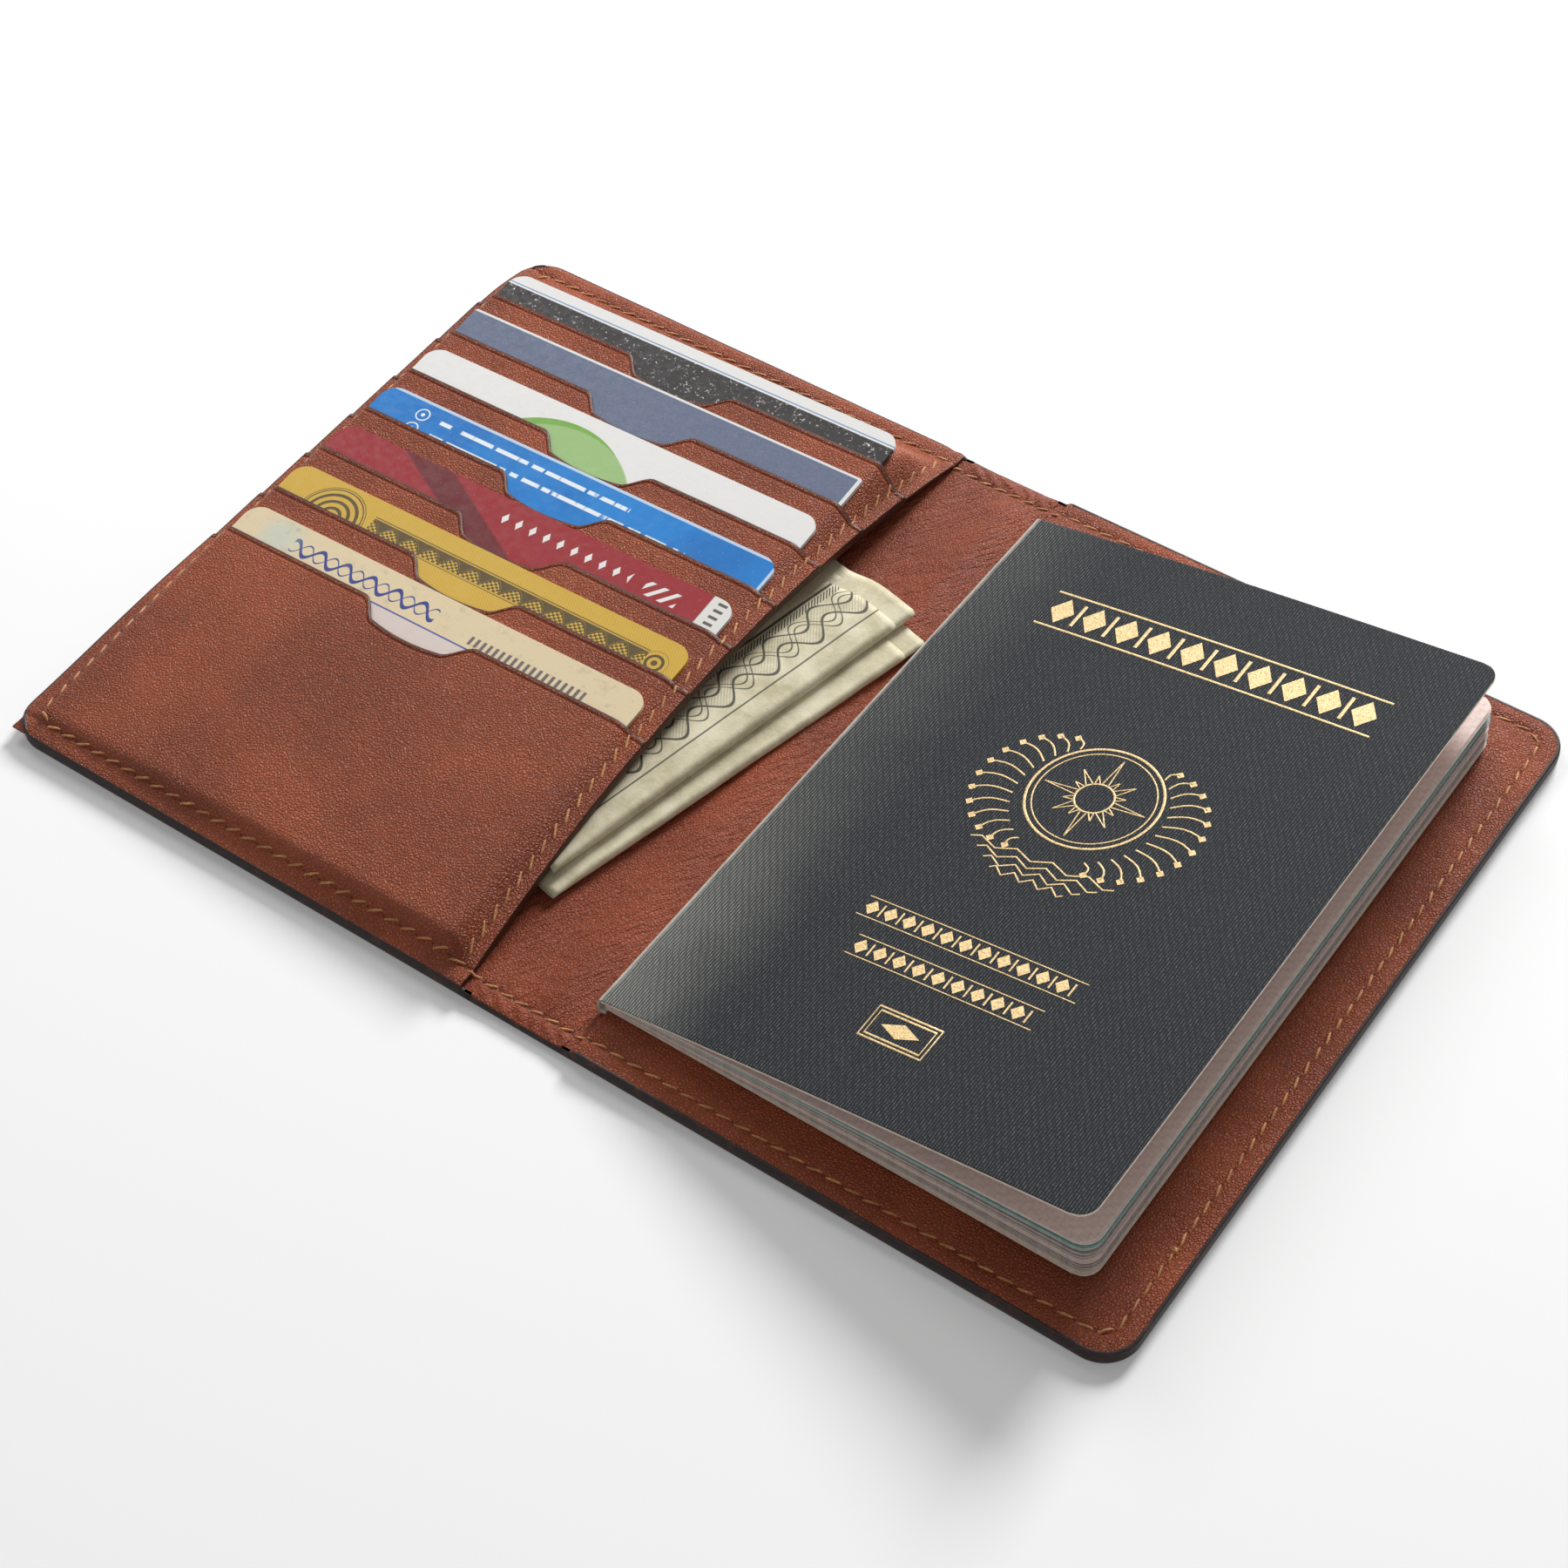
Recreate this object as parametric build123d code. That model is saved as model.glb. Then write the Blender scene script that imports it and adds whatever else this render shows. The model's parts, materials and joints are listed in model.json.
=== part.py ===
"""Leather passport holder, lying open, with the cards, banknotes and passport that it holds.

+X runs from the card side to the passport side, +Y towards the top edge and +Z up.
The origin is on the underside, in the middle of the spine. Sizes are in millimetres.
"""
import os
from math import asin, atan2, cos, degrees, hypot, radians

from build123d import *

# Bank cards
card_count = 7
card_width = 85.6
card_height = 53.98
card_thickness = 0.76
card_corner_radius = 3.18
plain_card = 6
plain_card_radius = 0.6
card_showing = 7.0
card_play = 0.06
card_side_play = 0.6
card_foot_play = 0.3

# Passport booklet
passport_width = 88.0
passport_height = 125.0
passport_board = 0.45
passport_corner_radius = 3.2
passport_play = 0.05
page_block_count = 6
page_block_thickness = 0.2
page_block_gap = 0.03
page_trim = 0.6
page_hinge_setback = 0.7
page_root = 0.5
first_page_angle = 0.3
page_angle_step = 0.9
cover_angle = 9.3

# Folded banknotes, half under the card panel and half over the spine
note_length = 78.0
note_width = 33.0
note_bundle_thickness = 0.9
note_play = 0.05
note_headroom = 0.1
note_foot_past_panel = 1.4
note_foot_height = 21.6
note_to_passport_gap = 0.8
upper_note_shift = (-2.0, 2.8)
upper_note_turn = 1.6

# Leather and board
cover_leather = 1.0
stiffener_board = 0.3
lining_leather = 0.4
backing_leather = 0.3
card_pocket_leather = 0.4
front_pocket_leather = 0.8
passport_pocket_leather = 0.8

# Layout of the open holder
spine_width = 17.6
corner_radius = 6.0
card_panel_setback = 2.0
card_left_border = 4.4
card_right_border = 6.0
card_foot_border = 4.6
card_top_border = 10.2
pocket_pitch = 12.2
pocket_foot_seam = 2.2
front_foot_seam = 0.6
passport_fold_gap = 0.4
passport_side_border = 9.6
passport_end_border = 8.5
pocket_mouth_setback = 1.8
notch_width = 24.0
notch_depth = 4.0
notch_side_run = 5.0

# Seams
seam_border = 4.5
stitch_inset = 3.2
card_edge_stitch_inset = 2.2
stitch_pitch = 3.3
stitch_length = 2.4
stitch_width = 0.6
stitch_height = 0.25
stitch_end_gap = 0.5

# Worked out: the panels are as large as the wider and the taller of what they hold
hinge_x = spine_width / 2
card_side_width = card_left_border + card_width + card_right_border + card_panel_setback
passport_side_width = passport_fold_gap + passport_width + passport_side_border
panel_width = max(card_side_width, passport_side_width)
card_hidden = card_height - card_showing
card_rows = card_hidden + (card_count - 1) * pocket_pitch + card_showing
card_side_height = card_foot_border + card_rows + card_top_border
cover_height = max(card_side_height, passport_height + 2 * passport_end_border)
half_width = hinge_x + panel_width
half_height = cover_height / 2
panel_top = cover_leather + stiffener_board + lining_leather
spine_top = cover_leather + lining_leather

passport_spine_x = hinge_x + passport_fold_gap
pocket_mouth_x = passport_spine_x + pocket_mouth_setback
pocket_underside = panel_top + passport_board + 2 * passport_play
pocket_top = pocket_underside + passport_pocket_leather
page_hinge_x = passport_spine_x + page_hinge_setback
page_hinge_z = pocket_top + passport_play

card_panel_width = panel_width - card_panel_setback
card_panel_right = -hinge_x - card_panel_setback
lower_note_foot = (card_panel_right + note_foot_past_panel, note_foot_height - half_height)
note_lean = passport_spine_x - note_to_passport_gap - lower_note_foot[0]
lower_note_angle = degrees(asin(note_lean / note_length))
note_stack = 2 * (note_bundle_thickness + note_play)
note_inner_x = lower_note_foot[0] - note_width
panel_tilt = degrees(atan2(note_stack + note_headroom, note_inner_x + half_width))
layer_pitch = card_thickness + 2 * card_play + card_pocket_leather
card_tilt = degrees(asin(layer_pitch / pocket_pitch))
far = 40.0

# The card panel rises from its outer edge to the spine, over the bill pocket
panel_frame = Pos(-half_width, 0, panel_top) * Rot(0, -panel_tilt, 0)


def slab(x_span, y_span, z_span):
    """A box between three pairs of coordinates."""
    spans = (x_span, y_span, z_span)
    middles = [(low + high) / 2 for low, high in spans]
    return Pos(*middles) * Box(*[high - low for low, high in spans])


def panel_sheet(inner_x, side, z_span):
    """A sheet from inner_x to the outer edge of one side, with that side's corners rounded."""
    x_span = sorted((inner_x, side * half_width))
    sheet = slab(x_span, (-half_height, half_height), z_span)
    upright = sheet.edges().filter_by(Axis.Z).group_by(Axis.X)
    return fillet(upright[-1] if side > 0 else upright[0], corner_radius)


def panel_layers(side, name):
    """Outer leather, board and lining of one panel, flush at the painted edge."""
    lining_bottom = cover_leather + stiffener_board
    inner_x = side * hinge_x
    return {
        f"outer_cover_{name}": panel_sheet(inner_x, side, (0, cover_leather)),
        f"stiffener_{name}": panel_sheet(inner_x, side, (cover_leather, lining_bottom)),
        f"lining_{name}": panel_sheet(inner_x, side, (lining_bottom, panel_top)),
    }


def spine_layers():
    """Outer leather and lining between the two folds."""
    x_span = (-hinge_x, hinge_x)
    y_span = (-half_height, half_height)
    return {
        "outer_cover_spine": slab(x_span, y_span, (0, cover_leather)),
        "lining_spine": slab(x_span, y_span, (cover_leather, spine_top)),
    }


def above_panel(height):
    """All that lies higher than a height over the card panel's own plane."""
    x_span = (-far, card_panel_width + far)
    y_span = (-half_height - far, half_height + far)
    return panel_frame * slab(x_span, y_span, (height, height + far))


def card_panel_backing():
    """The sheet behind the cards. It is seamed down on three sides and open to the spine."""
    body = panel_sheet(card_panel_right, -1, (panel_top, panel_top + far))
    body = body - above_panel(backing_leather)
    x_span = (seam_border - half_width, card_panel_right + 1)
    y_span = (seam_border - half_height, half_height - seam_border)
    bill_space = slab(x_span, y_span, (panel_top - 1, panel_top + far)) - above_panel(0)
    return body - bill_space


def mouth_y(number):
    return card_foot_border - half_height + card_hidden + (number - 1) * pocket_pitch


def slope_frame(number):
    """Frame of one card: its lower edge is at y = 0 and its underside at z = 0."""
    foot_y = mouth_y(number) - card_hidden
    return panel_frame * Pos(0, foot_y, backing_leather + card_play) * Rot(card_tilt, 0, 0)


def bank_card(number):
    """A flat card, leaning on the pocket behind it."""
    radius = plain_card_radius if number == plain_card else card_corner_radius
    x_span = (card_left_border, card_left_border + card_width)
    blank = slab(x_span, (0, card_height), (0, card_thickness))
    return slope_frame(number) * fillet(blank.edges().filter_by(Axis.Z), radius)


def thumb_notch():
    """The shallow cut-out in the middle of a pocket's mouth."""
    half = notch_width / 2
    floor = half - notch_side_run
    corners = [(-half, 1), (-half, 0), (-floor, -notch_depth), (floor, -notch_depth), (half, 0), (half, 1)]
    outline = make_face(Polyline(*corners, close=True))
    return Pos(card_left_border + card_width / 2, card_hidden, 0) * extrude(outline, far, both=True)


def pocket_leather(number):
    return front_pocket_leather if number == 1 else card_pocket_leather


def pocket_top_height(number):
    """Height of a pocket's face over its card's underside."""
    return card_thickness + card_play + pocket_leather(number)


def card_pocket(number):
    """A leather face over one card, folded down round the card's sides and foot."""
    x_span = (-1, card_panel_width + 1)
    foot_seam = front_foot_seam if number == 1 else pocket_foot_seam
    face = slab(x_span, (-foot_seam, card_hidden), (-card_play, pocket_top_height(number)))
    pocket = slope_frame(number) * (face - thumb_notch())
    if number == 1:
        flange_top = backing_leather + front_pocket_leather
        flange_end = mouth_y(1) - card_hidden
        flange = slab(x_span, (-half_height, flange_end), (backing_leather, flange_top))
        pocket = pocket + panel_frame * flange
    card_x_span = (card_left_border - card_side_play, card_left_border + card_width + card_side_play)
    card_y_span = (-card_foot_play, card_hidden + 1)
    card_space = slab(card_x_span, card_y_span, (-card_play, card_thickness + card_play))
    pocket = pocket - slope_frame(number) * card_space
    outline = panel_sheet(card_panel_right, -1, (panel_top, panel_top + far))
    return pocket & above_panel(backing_leather) & outline


def passport_pocket():
    """A leather sheet seamed down on three sides, open towards the spine."""
    body = panel_sheet(pocket_mouth_x, 1, (panel_top, pocket_top))
    x_span = (pocket_mouth_x - 1, half_width - seam_border)
    y_span = (seam_border - half_height, half_height - seam_border)
    return body - slab(x_span, y_span, (panel_top - 1, pocket_underside))


def booklet_sheet(x_span, y_span, z_span):
    """A board or block of pages, with its two corners away from the spine rounded."""
    sheet = slab(x_span, y_span, z_span)
    upright = sheet.edges().filter_by(Axis.Z).group_by(Axis.X)
    return fillet(upright[-1], passport_corner_radius)


def passport_back_cover():
    """The board inside the pocket, with the lower half of the booklet's spine."""
    bottom = panel_top + passport_play
    y_span = (-passport_height / 2, passport_height / 2)
    board_span = (passport_spine_x, passport_spine_x + passport_width)
    lip_span = (passport_spine_x, passport_spine_x + passport_board)
    board = booklet_sheet(board_span, y_span, (bottom, bottom + passport_board))
    return board + slab(lip_span, y_span, (bottom, page_hinge_z - passport_play))


def passport_leaf(offset, thickness, angle, trim):
    """A leaf of the booklet, turned up about the page hinge by an angle."""
    reach = passport_width - page_hinge_setback - trim
    half = passport_height / 2 - trim
    blank = booklet_sheet((page_root, reach), (-half, half), (offset, offset + thickness))
    return Pos(page_hinge_x, 0, page_hinge_z) * Rot(0, -angle, 0) * blank


def passport_leaves():
    """The fanned blocks of pages, with the front cover over them."""
    leaves = {}
    pitch = page_block_thickness + page_block_gap
    for index in range(page_block_count):
        angle = first_page_angle + index * page_angle_step
        block = passport_leaf(index * pitch, page_block_thickness, angle, page_trim)
        leaves[f"passport_pages_{index + 1}"] = block
    cover = passport_leaf(page_block_count * pitch, passport_board, cover_angle, 0)
    leaves["passport_front_cover"] = cover
    return leaves


def banknote_bundle(foot, angle, bottom):
    """Folded notes: a thin block whose long folded edge is round, leaning about its foot."""
    blank = slab((-note_width, 0), (0, note_length), (0, note_bundle_thickness))
    folded = blank.edges().filter_by(Axis.Y).group_by(Axis.X)[-1]
    rounded = fillet(folded, 0.49 * note_bundle_thickness)
    return Pos(*foot, bottom) * Rot(0, 0, -angle) * rounded


def banknotes():
    lower_bottom = panel_top + note_play
    upper_bottom = lower_bottom + note_bundle_thickness + note_play
    upper_foot = [low + shift for low, shift in zip(lower_note_foot, upper_note_shift)]
    upper_angle = lower_note_angle - upper_note_turn
    return {
        "banknote_bundle_1": banknote_bundle(lower_note_foot, lower_note_angle, lower_bottom),
        "banknote_bundle_2": banknote_bundle(upper_foot, upper_angle, upper_bottom),
    }


def stitch_row(frame, start, end, height):
    """Stitches end to end along a straight seam, lying on a surface of the frame."""
    run, rise = end[0] - start[0], end[1] - start[1]
    length = hypot(run, rise)
    count = int(length / stitch_pitch)
    turn = degrees(atan2(rise, run))
    thread = Box(stitch_length, stitch_width, stitch_height)
    middle_z = height + stitch_height / 2
    row = []
    for index in range(count):
        share = (index + 0.5) / count
        middle = Pos(start[0] + share * run, start[1] + share * rise, middle_z)
        row.append(frame * middle * Rot(0, 0, turn) * thread)
    return row


def card_column_stitches(inset):
    """A seam up the card panel, over each pocket's visible face and the backing above them."""
    stitches = []
    slope_pitch = pocket_pitch / cos(radians(card_tilt))
    for number in range(1, card_count + 1):
        low = 0 if number == 1 else card_hidden - slope_pitch
        start = (inset, low + stitch_end_gap)
        end = (inset, card_hidden - stitch_end_gap)
        stitches += stitch_row(slope_frame(number), start, end, pocket_top_height(number))
    start = (inset, mouth_y(card_count) + stitch_end_gap)
    end = (inset, half_height - stitch_inset)
    return stitches + stitch_row(panel_frame, start, end, backing_leather)


def seams():
    """The stitches of each panel, of the spine and of the card panel's free edge."""
    top_y = half_height - stitch_inset
    free_edge = card_panel_width - card_edge_stitch_inset
    flange_top = backing_leather + front_pocket_leather
    left = stitch_row(panel_frame, (stitch_inset, top_y), (free_edge, top_y), backing_leather)
    left += stitch_row(panel_frame, (stitch_inset, -top_y), (free_edge, -top_y), flange_top)
    left += card_column_stitches(stitch_inset)

    world = Pos(0, 0, 0)
    outer_x = half_width - stitch_inset
    right = stitch_row(world, (pocket_mouth_x, top_y), (outer_x, top_y), pocket_top)
    right += stitch_row(world, (pocket_mouth_x, -top_y), (outer_x, -top_y), pocket_top)
    right += stitch_row(world, (outer_x, -top_y), (outer_x, top_y), pocket_top)

    spine_end = hinge_x - stitch_end_gap
    spine = stitch_row(world, (-spine_end, top_y), (spine_end, top_y), spine_top)
    spine += stitch_row(world, (-spine_end, -top_y), (spine_end, -top_y), spine_top)
    return {
        "stitches_left": Compound(left),
        "stitches_card_edge": Compound(card_column_stitches(free_edge)),
        "stitches_right": Compound(right),
        "stitches_spine": Compound(spine),
    }


def build():
    pieces = {**panel_layers(-1, "left"), **spine_layers(), **panel_layers(1, "right")}
    pieces["card_panel_backing"] = card_panel_backing()
    for number in range(1, card_count + 1):
        pieces[f"card_pocket_{number}"] = card_pocket(number)
        pieces[f"card_{number}"] = bank_card(number)
    pieces["passport_pocket"] = passport_pocket()
    pieces["passport_back_cover"] = passport_back_cover()
    pieces.update(passport_leaves())
    pieces.update(banknotes())
    pieces.update(seams())
    return pieces


if __name__ == "__main__":
    os.makedirs("parts", exist_ok=True)
    for name, shape in build().items():
        export_step(shape, f"parts/{name}.step")
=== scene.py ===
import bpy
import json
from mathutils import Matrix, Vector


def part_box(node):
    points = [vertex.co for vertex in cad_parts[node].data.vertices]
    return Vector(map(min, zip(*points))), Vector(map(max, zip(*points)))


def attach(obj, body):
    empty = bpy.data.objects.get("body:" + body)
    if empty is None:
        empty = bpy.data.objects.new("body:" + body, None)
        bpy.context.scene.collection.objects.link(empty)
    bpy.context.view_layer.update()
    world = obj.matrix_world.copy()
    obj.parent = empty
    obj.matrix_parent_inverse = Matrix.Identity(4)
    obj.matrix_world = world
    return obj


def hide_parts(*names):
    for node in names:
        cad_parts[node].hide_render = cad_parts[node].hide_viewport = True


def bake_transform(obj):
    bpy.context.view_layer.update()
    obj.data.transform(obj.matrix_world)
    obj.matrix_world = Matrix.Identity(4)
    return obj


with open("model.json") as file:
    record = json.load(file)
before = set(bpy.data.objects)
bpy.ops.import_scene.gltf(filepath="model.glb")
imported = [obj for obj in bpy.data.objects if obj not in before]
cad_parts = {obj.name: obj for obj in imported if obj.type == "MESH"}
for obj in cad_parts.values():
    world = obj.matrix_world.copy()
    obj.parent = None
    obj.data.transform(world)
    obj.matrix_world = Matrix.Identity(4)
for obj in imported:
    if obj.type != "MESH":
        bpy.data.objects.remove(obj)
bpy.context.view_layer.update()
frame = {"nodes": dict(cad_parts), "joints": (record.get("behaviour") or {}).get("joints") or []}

import json
from math import acos, atan2, cos, exp, hypot, pi, radians, sin, sqrt, tan
from random import Random

import bpy
from mathutils import Matrix, Vector, noise

# An open leather passport holder with bank cards, banknotes and a passport.
# Lengths of the object are millimetres, scaled to metres as its meshes are made. Lamps are in metres.

MM = 0.001
UP = Vector((0, 0, 1))
random = Random(7)


def node_box(name):
    low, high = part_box(name)
    return low / MM, high / MM


# ---- sizes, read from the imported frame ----

half_width, half_height = node_box("outer_cover_right")[1].xy
hinge_x = node_box("outer_cover_right")[0].x
cover_top = node_box("outer_cover_right")[1].z
panel_top = node_box("lining_right")[1].z
pocket_mouth_x = node_box("passport_pocket")[0].x
pocket_top = node_box("passport_pocket")[1].z - 0.02
corner_radius = 6.0
seam_inset = 3.2
free_edge_inset = 2.2
stitch_pitch = 3.3

card_up = Vector(next(j["axis"] for j in frame["joints"] if j["name"] == "card_1_slide")).normalized()
card_tilt = acos(card_up.y)
panel_tilt = atan2(-card_up.x, card_up.z)
card_right = Vector((cos(panel_tilt), 0, sin(panel_tilt)))
card_normal = card_right.cross(card_up)
card_count = 7


def card_local_box(number):
    """Least and greatest place of a card's corners along its own width, height and thickness."""
    corners = [v.co / MM for v in frame["nodes"][f"card_{number}"].data.vertices]
    spans = [[c.dot(axis) for c in corners] for axis in (card_right, card_up, card_normal)]
    return [min(s) for s in spans], [max(s) for s in spans]


card_low, card_high = card_local_box(1)
card_width = card_high[0] - card_low[0]
panel_width = (node_box("card_panel_backing")[1].x + half_width) / cos(panel_tilt)
mouths = [node_box(f"card_pocket_{k}")[1].y for k in range(1, card_count + 1)]


def card_corner(number, level):
    """The card's lower left corner, at its underside (0) or its face (1)."""
    low, high = card_local_box(number)
    depth = high[2] if level else low[2]
    return card_right * low[0] + card_up * low[1] + card_normal * depth


def panel_height(point):
    return point.z - panel_top - (point.x + half_width) * tan(panel_tilt)


card_faces = [(card_corner(k, 1).y, panel_height(card_corner(k, 1))) for k in range(1, card_count + 1)]
card_left = (card_corner(1, 1).x + half_width) / cos(panel_tilt)
notch_middle = card_left + card_width / 2


def clamp(value, low=0.0, high=1.0):
    return max(low, min(high, value))


def smooth(start, end, value):
    t = clamp((value - start) / (end - start))
    return t * t * (3 - 2 * t)


def bell(distance, width):
    return exp(-((distance / width) ** 2))


def wobble(x, y, size, seed=0.0):
    """Smooth uneven height between about -1 and 1, that changes over this size."""
    return noise.noise(Vector((x / size, y / size, seed)))


# ---- mesh makers ----

def make_mesh(name, points, faces, materials, indices=None, normals=None):
    mesh = bpy.data.meshes.new(name)
    mesh.from_pydata([Vector(p) * MM for p in points], [], faces)
    for material in materials:
        mesh.materials.append(material)
    if indices:
        mesh.polygons.foreach_set("material_index", indices)
    mesh.polygons.foreach_set("use_smooth", [True] * len(mesh.polygons))
    mesh.update()
    if normals:
        mesh.normals_split_custom_set_from_vertices(normals)
    piece = bpy.data.objects.new(name, mesh)
    bpy.context.scene.collection.objects.link(piece)
    return piece


def settle(piece, slot, body, *replaced):
    """Hides the CAD nodes that a piece stands for and sets the body it moves with. Its slot is not used."""
    if replaced:
        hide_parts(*replaced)
    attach(piece, body)


def shell(name, top, bottom, materials, rim=0.12, painted=0):
    """A closed sheet between two grids of points, with a rounded rim. Materials: face, back, rim.

    The rim's paint laps over the face along the last few rows."""
    rows, columns = len(top), len(top[0])
    points = [p for row in top for p in row] + [p for row in bottom for p in row]
    back = rows * columns
    faces, indices = [], []
    for r in range(rows - 1):
        for c in range(columns - 1):
            a = r * columns + c
            quad = (a, a + 1, a + 1 + columns, a + columns)
            faces.append(quad)
            indices.append(2 if r >= rows - 1 - painted else 0)
            faces.append(tuple(back + i for i in reversed(quad)))
            indices.append(1)
    loop = [(0, c) for c in range(columns - 1)] + [(r, columns - 1) for r in range(rows - 1)]
    loop += [(rows - 1, c) for c in range(columns - 1, 0, -1)] + [(r, 0) for r in range(rows - 1, 0, -1)]
    count = len(loop)
    rings = [[r * columns + c for r, c in loop]]
    for share, bulge in ((0.15, 0.7), (0.5, 1.0), (0.85, 0.7)):
        ring = []
        for i, (r, c) in enumerate(loop):
            before, after = loop[i - 1], loop[(i + 1) % count]
            along = top[after[0]][after[1]] - top[before[0]][before[1]]
            outward = along.cross(UP)
            outward = outward.normalized() if outward.length > 1e-6 else Vector((0, 0, 0))
            ring.append(len(points))
            points.append(top[r][c].lerp(bottom[r][c], share) + outward * rim * bulge)
        rings.append(ring)
    rings.append([back + r * columns + c for r, c in loop])
    for upper, lower in zip(rings, rings[1:]):
        for i in range(count):
            j = (i + 1) % count
            faces.append((upper[j], upper[i], lower[i], lower[j]))
            indices.append(2)
    return make_mesh(name, points, faces, materials, indices)


def tube(rings, points, faces):
    """Adds a closed tube through rings of points, each ring with as many points."""
    first = len(points)
    sides = len(rings[0])
    for ring in rings:
        points.extend(ring)
    for r in range(len(rings) - 1):
        for s in range(sides):
            a = first + r * sides + s
            b = first + r * sides + (s + 1) % sides
            faces.append((a, b, b + sides, a + sides))
    faces.append(tuple(first + s for s in reversed(range(sides))))
    last = first + (len(rings) - 1) * sides
    faces.append(tuple(last + s for s in range(sides)))


def edge_offsets(fine, width):
    """Distances from an edge to the middle of a sheet, close together at the edge."""
    offsets = [d for d in fine if d < width / 2]
    steps = max(2, round((width / 2 - offsets[-1]) / 4))
    gap = (width / 2 - offsets[-1]) / steps
    return offsets + [offsets[-1] + gap * (i + 1) for i in range(steps)]


border_steps = [0, 0.2, 0.5, 0.9, 1.3, 1.8, 2.3, 2.7, 3.0, 3.2, 3.4, 3.7]
border_steps += [4.1, 4.7, 5.4, 6.2, 7.2, 8.6, 10.5, 13]


def spread(low, high, fine=border_steps):
    offsets = edge_offsets(fine, high - low)
    return [low + d for d in offsets] + [high - d for d in reversed(offsets[:-1])]


def corner_inset(distance, radius):
    """How far a rounded corner pulls the side in, at a distance from the end."""
    if distance >= radius:
        return 0.0
    return radius - sqrt(max(radius * radius - (radius - distance) ** 2, 0))


def edge_distance(x, y, side):
    """Distance from the outer border of a panel, whose outer side is at x = side * half_width."""
    across = half_width - x * side
    along = half_height - abs(y)
    if across < corner_radius and along < corner_radius:
        return corner_radius - hypot(corner_radius - across, corner_radius - along)
    return min(across, along)


def panel_grid(inner_x, side, height, extra=()):
    """Points of a panel sheet from inner_x to the outer border, with rounded outer corners."""
    grid = []
    inner = inner_x * side
    xs = sorted(set(spread(inner, half_width)) | set(extra))
    for y in spread(-half_height, half_height):
        outer = half_width - corner_inset(half_height - abs(y), corner_radius)
        row = [inner + (x - inner) * (outer - inner) / (half_width - inner) for x in xs]
        grid.append([Vector((x * side, y, height(x * side, y))) for x in row])
    return grid if side > 0 else [list(reversed(row)) for row in grid]


def cover_node(name, material):
    """Gives a CAD node that is shown as it is its material."""
    materials = frame["nodes"][name].data.materials
    materials.clear()
    materials.append(material)


# ---- materials ----

class Graph:
    """A node material under construction."""

    def __init__(self, name, color=(0.8, 0.8, 0.8), roughness=0.5, **inputs):
        self.material = bpy.data.materials.new(name)
        self.material.use_nodes = True
        self.material.diffuse_color = (*color, 1)
        self.tree = self.material.node_tree
        self.shader = self.tree.nodes["Principled BSDF"]
        self.put(self.shader, "Base Color", (*color, 1))
        self.put(self.shader, "Roughness", roughness)
        for key, value in inputs.items():
            self.put(self.shader, key.replace("_", " "), value)
        self.place = self.node("TexCoord").outputs["Object"]

    def put(self, node, key, value):
        socket = node.inputs[key]
        if isinstance(value, bpy.types.NodeSocket):
            self.tree.links.new(value, socket)
        else:
            socket.default_value = value

    def node(self, kind, settings=None, **inputs):
        made = self.tree.nodes.new("ShaderNode" + kind)
        for key, value in (settings or {}).items():
            setattr(made, key, value)
        for key, value in inputs.items():
            self.put(made, key.replace("_", " "), value)
        return made

    def math(self, operation, *values):
        made = self.node("Math", {"operation": operation})
        for index, value in enumerate(values):
            self.put(made, index, value)
        return made.outputs[0]

    def ramp(self, value, start, end, low=0.0, high=1.0):
        made = self.node("MapRange", {"interpolation_type": "SMOOTHSTEP"})
        for index, number in enumerate((value, start, end, low, high)):
            self.put(made, index, number)
        return made.outputs[0]

    def mix(self, share, first, second):
        made = self.node("Mix", {"data_type": "RGBA"})
        self.put(made, 0, share)
        for index, color in ((6, first), (7, second)):
            self.put(made, index, (*color, 1) if isinstance(color, tuple) else color)
        return made.outputs[2]

    def noise(self, size, detail=3.0, roughness=0.55, place=None):
        """Noise with lumps of this size in millimetres."""
        made = self.node("TexNoise", Scale=1 / (size * MM), Detail=detail, Roughness=roughness)
        self.put(made, "Vector", place or self.place)
        return made.outputs[0]

    def cells(self, size, feature="DISTANCE_TO_EDGE", place=None):
        made = self.node("TexVoronoi", {"feature": feature}, Scale=1 / (size * MM))
        self.put(made, "Vector", place or self.place)
        return made.outputs["Distance"]

    def stretched(self, angle, along, across):
        """Coordinates turned about Z, then scaled along and across that direction."""
        turn = self.node("Mapping", Rotation=(0, 0, -angle))
        self.put(turn, "Vector", self.place)
        scale = self.node("Mapping", Scale=(1 / along, 1 / across, 1))
        self.put(scale, "Vector", turn.outputs[0])
        return scale.outputs[0]

    def along(self, axis, start=0.0):
        """Millimetres along an axis of the row frame, from start."""
        made = self.node("VectorMath", {"operation": "DOT_PRODUCT"})
        self.put(made, 0, self.place)
        self.put(made, 1, tuple(axis))
        return self.minus(self.times(made.outputs["Value"], 1 / MM), start)

    def within(self, value, low, high, edge=0.12):
        rise = self.ramp(value, low - edge, low + edge)
        return self.times(rise, self.ramp(value, high - edge, high + edge, 1.0, 0.0))

    def times(self, first, second):
        return self.math("MULTIPLY", first, second)

    def plus(self, first, second):
        return self.math("ADD", first, second)

    def minus(self, first, second):
        return self.math("SUBTRACT", first, second)

    def most(self, first, second):
        return self.math("MAXIMUM", first, second)

    def size(self, value):
        return self.math("ABSOLUTE", value)

    def bump(self, height, depth, strength=1.0):
        made = self.node("Bump", Strength=strength, Distance=depth * MM)
        self.put(made, "Height", height)
        self.put(self.shader, "Normal", made.outputs[0])

    def paint(self, color):
        self.put(self.shader, "Base Color", color)
        return self.material


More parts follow.
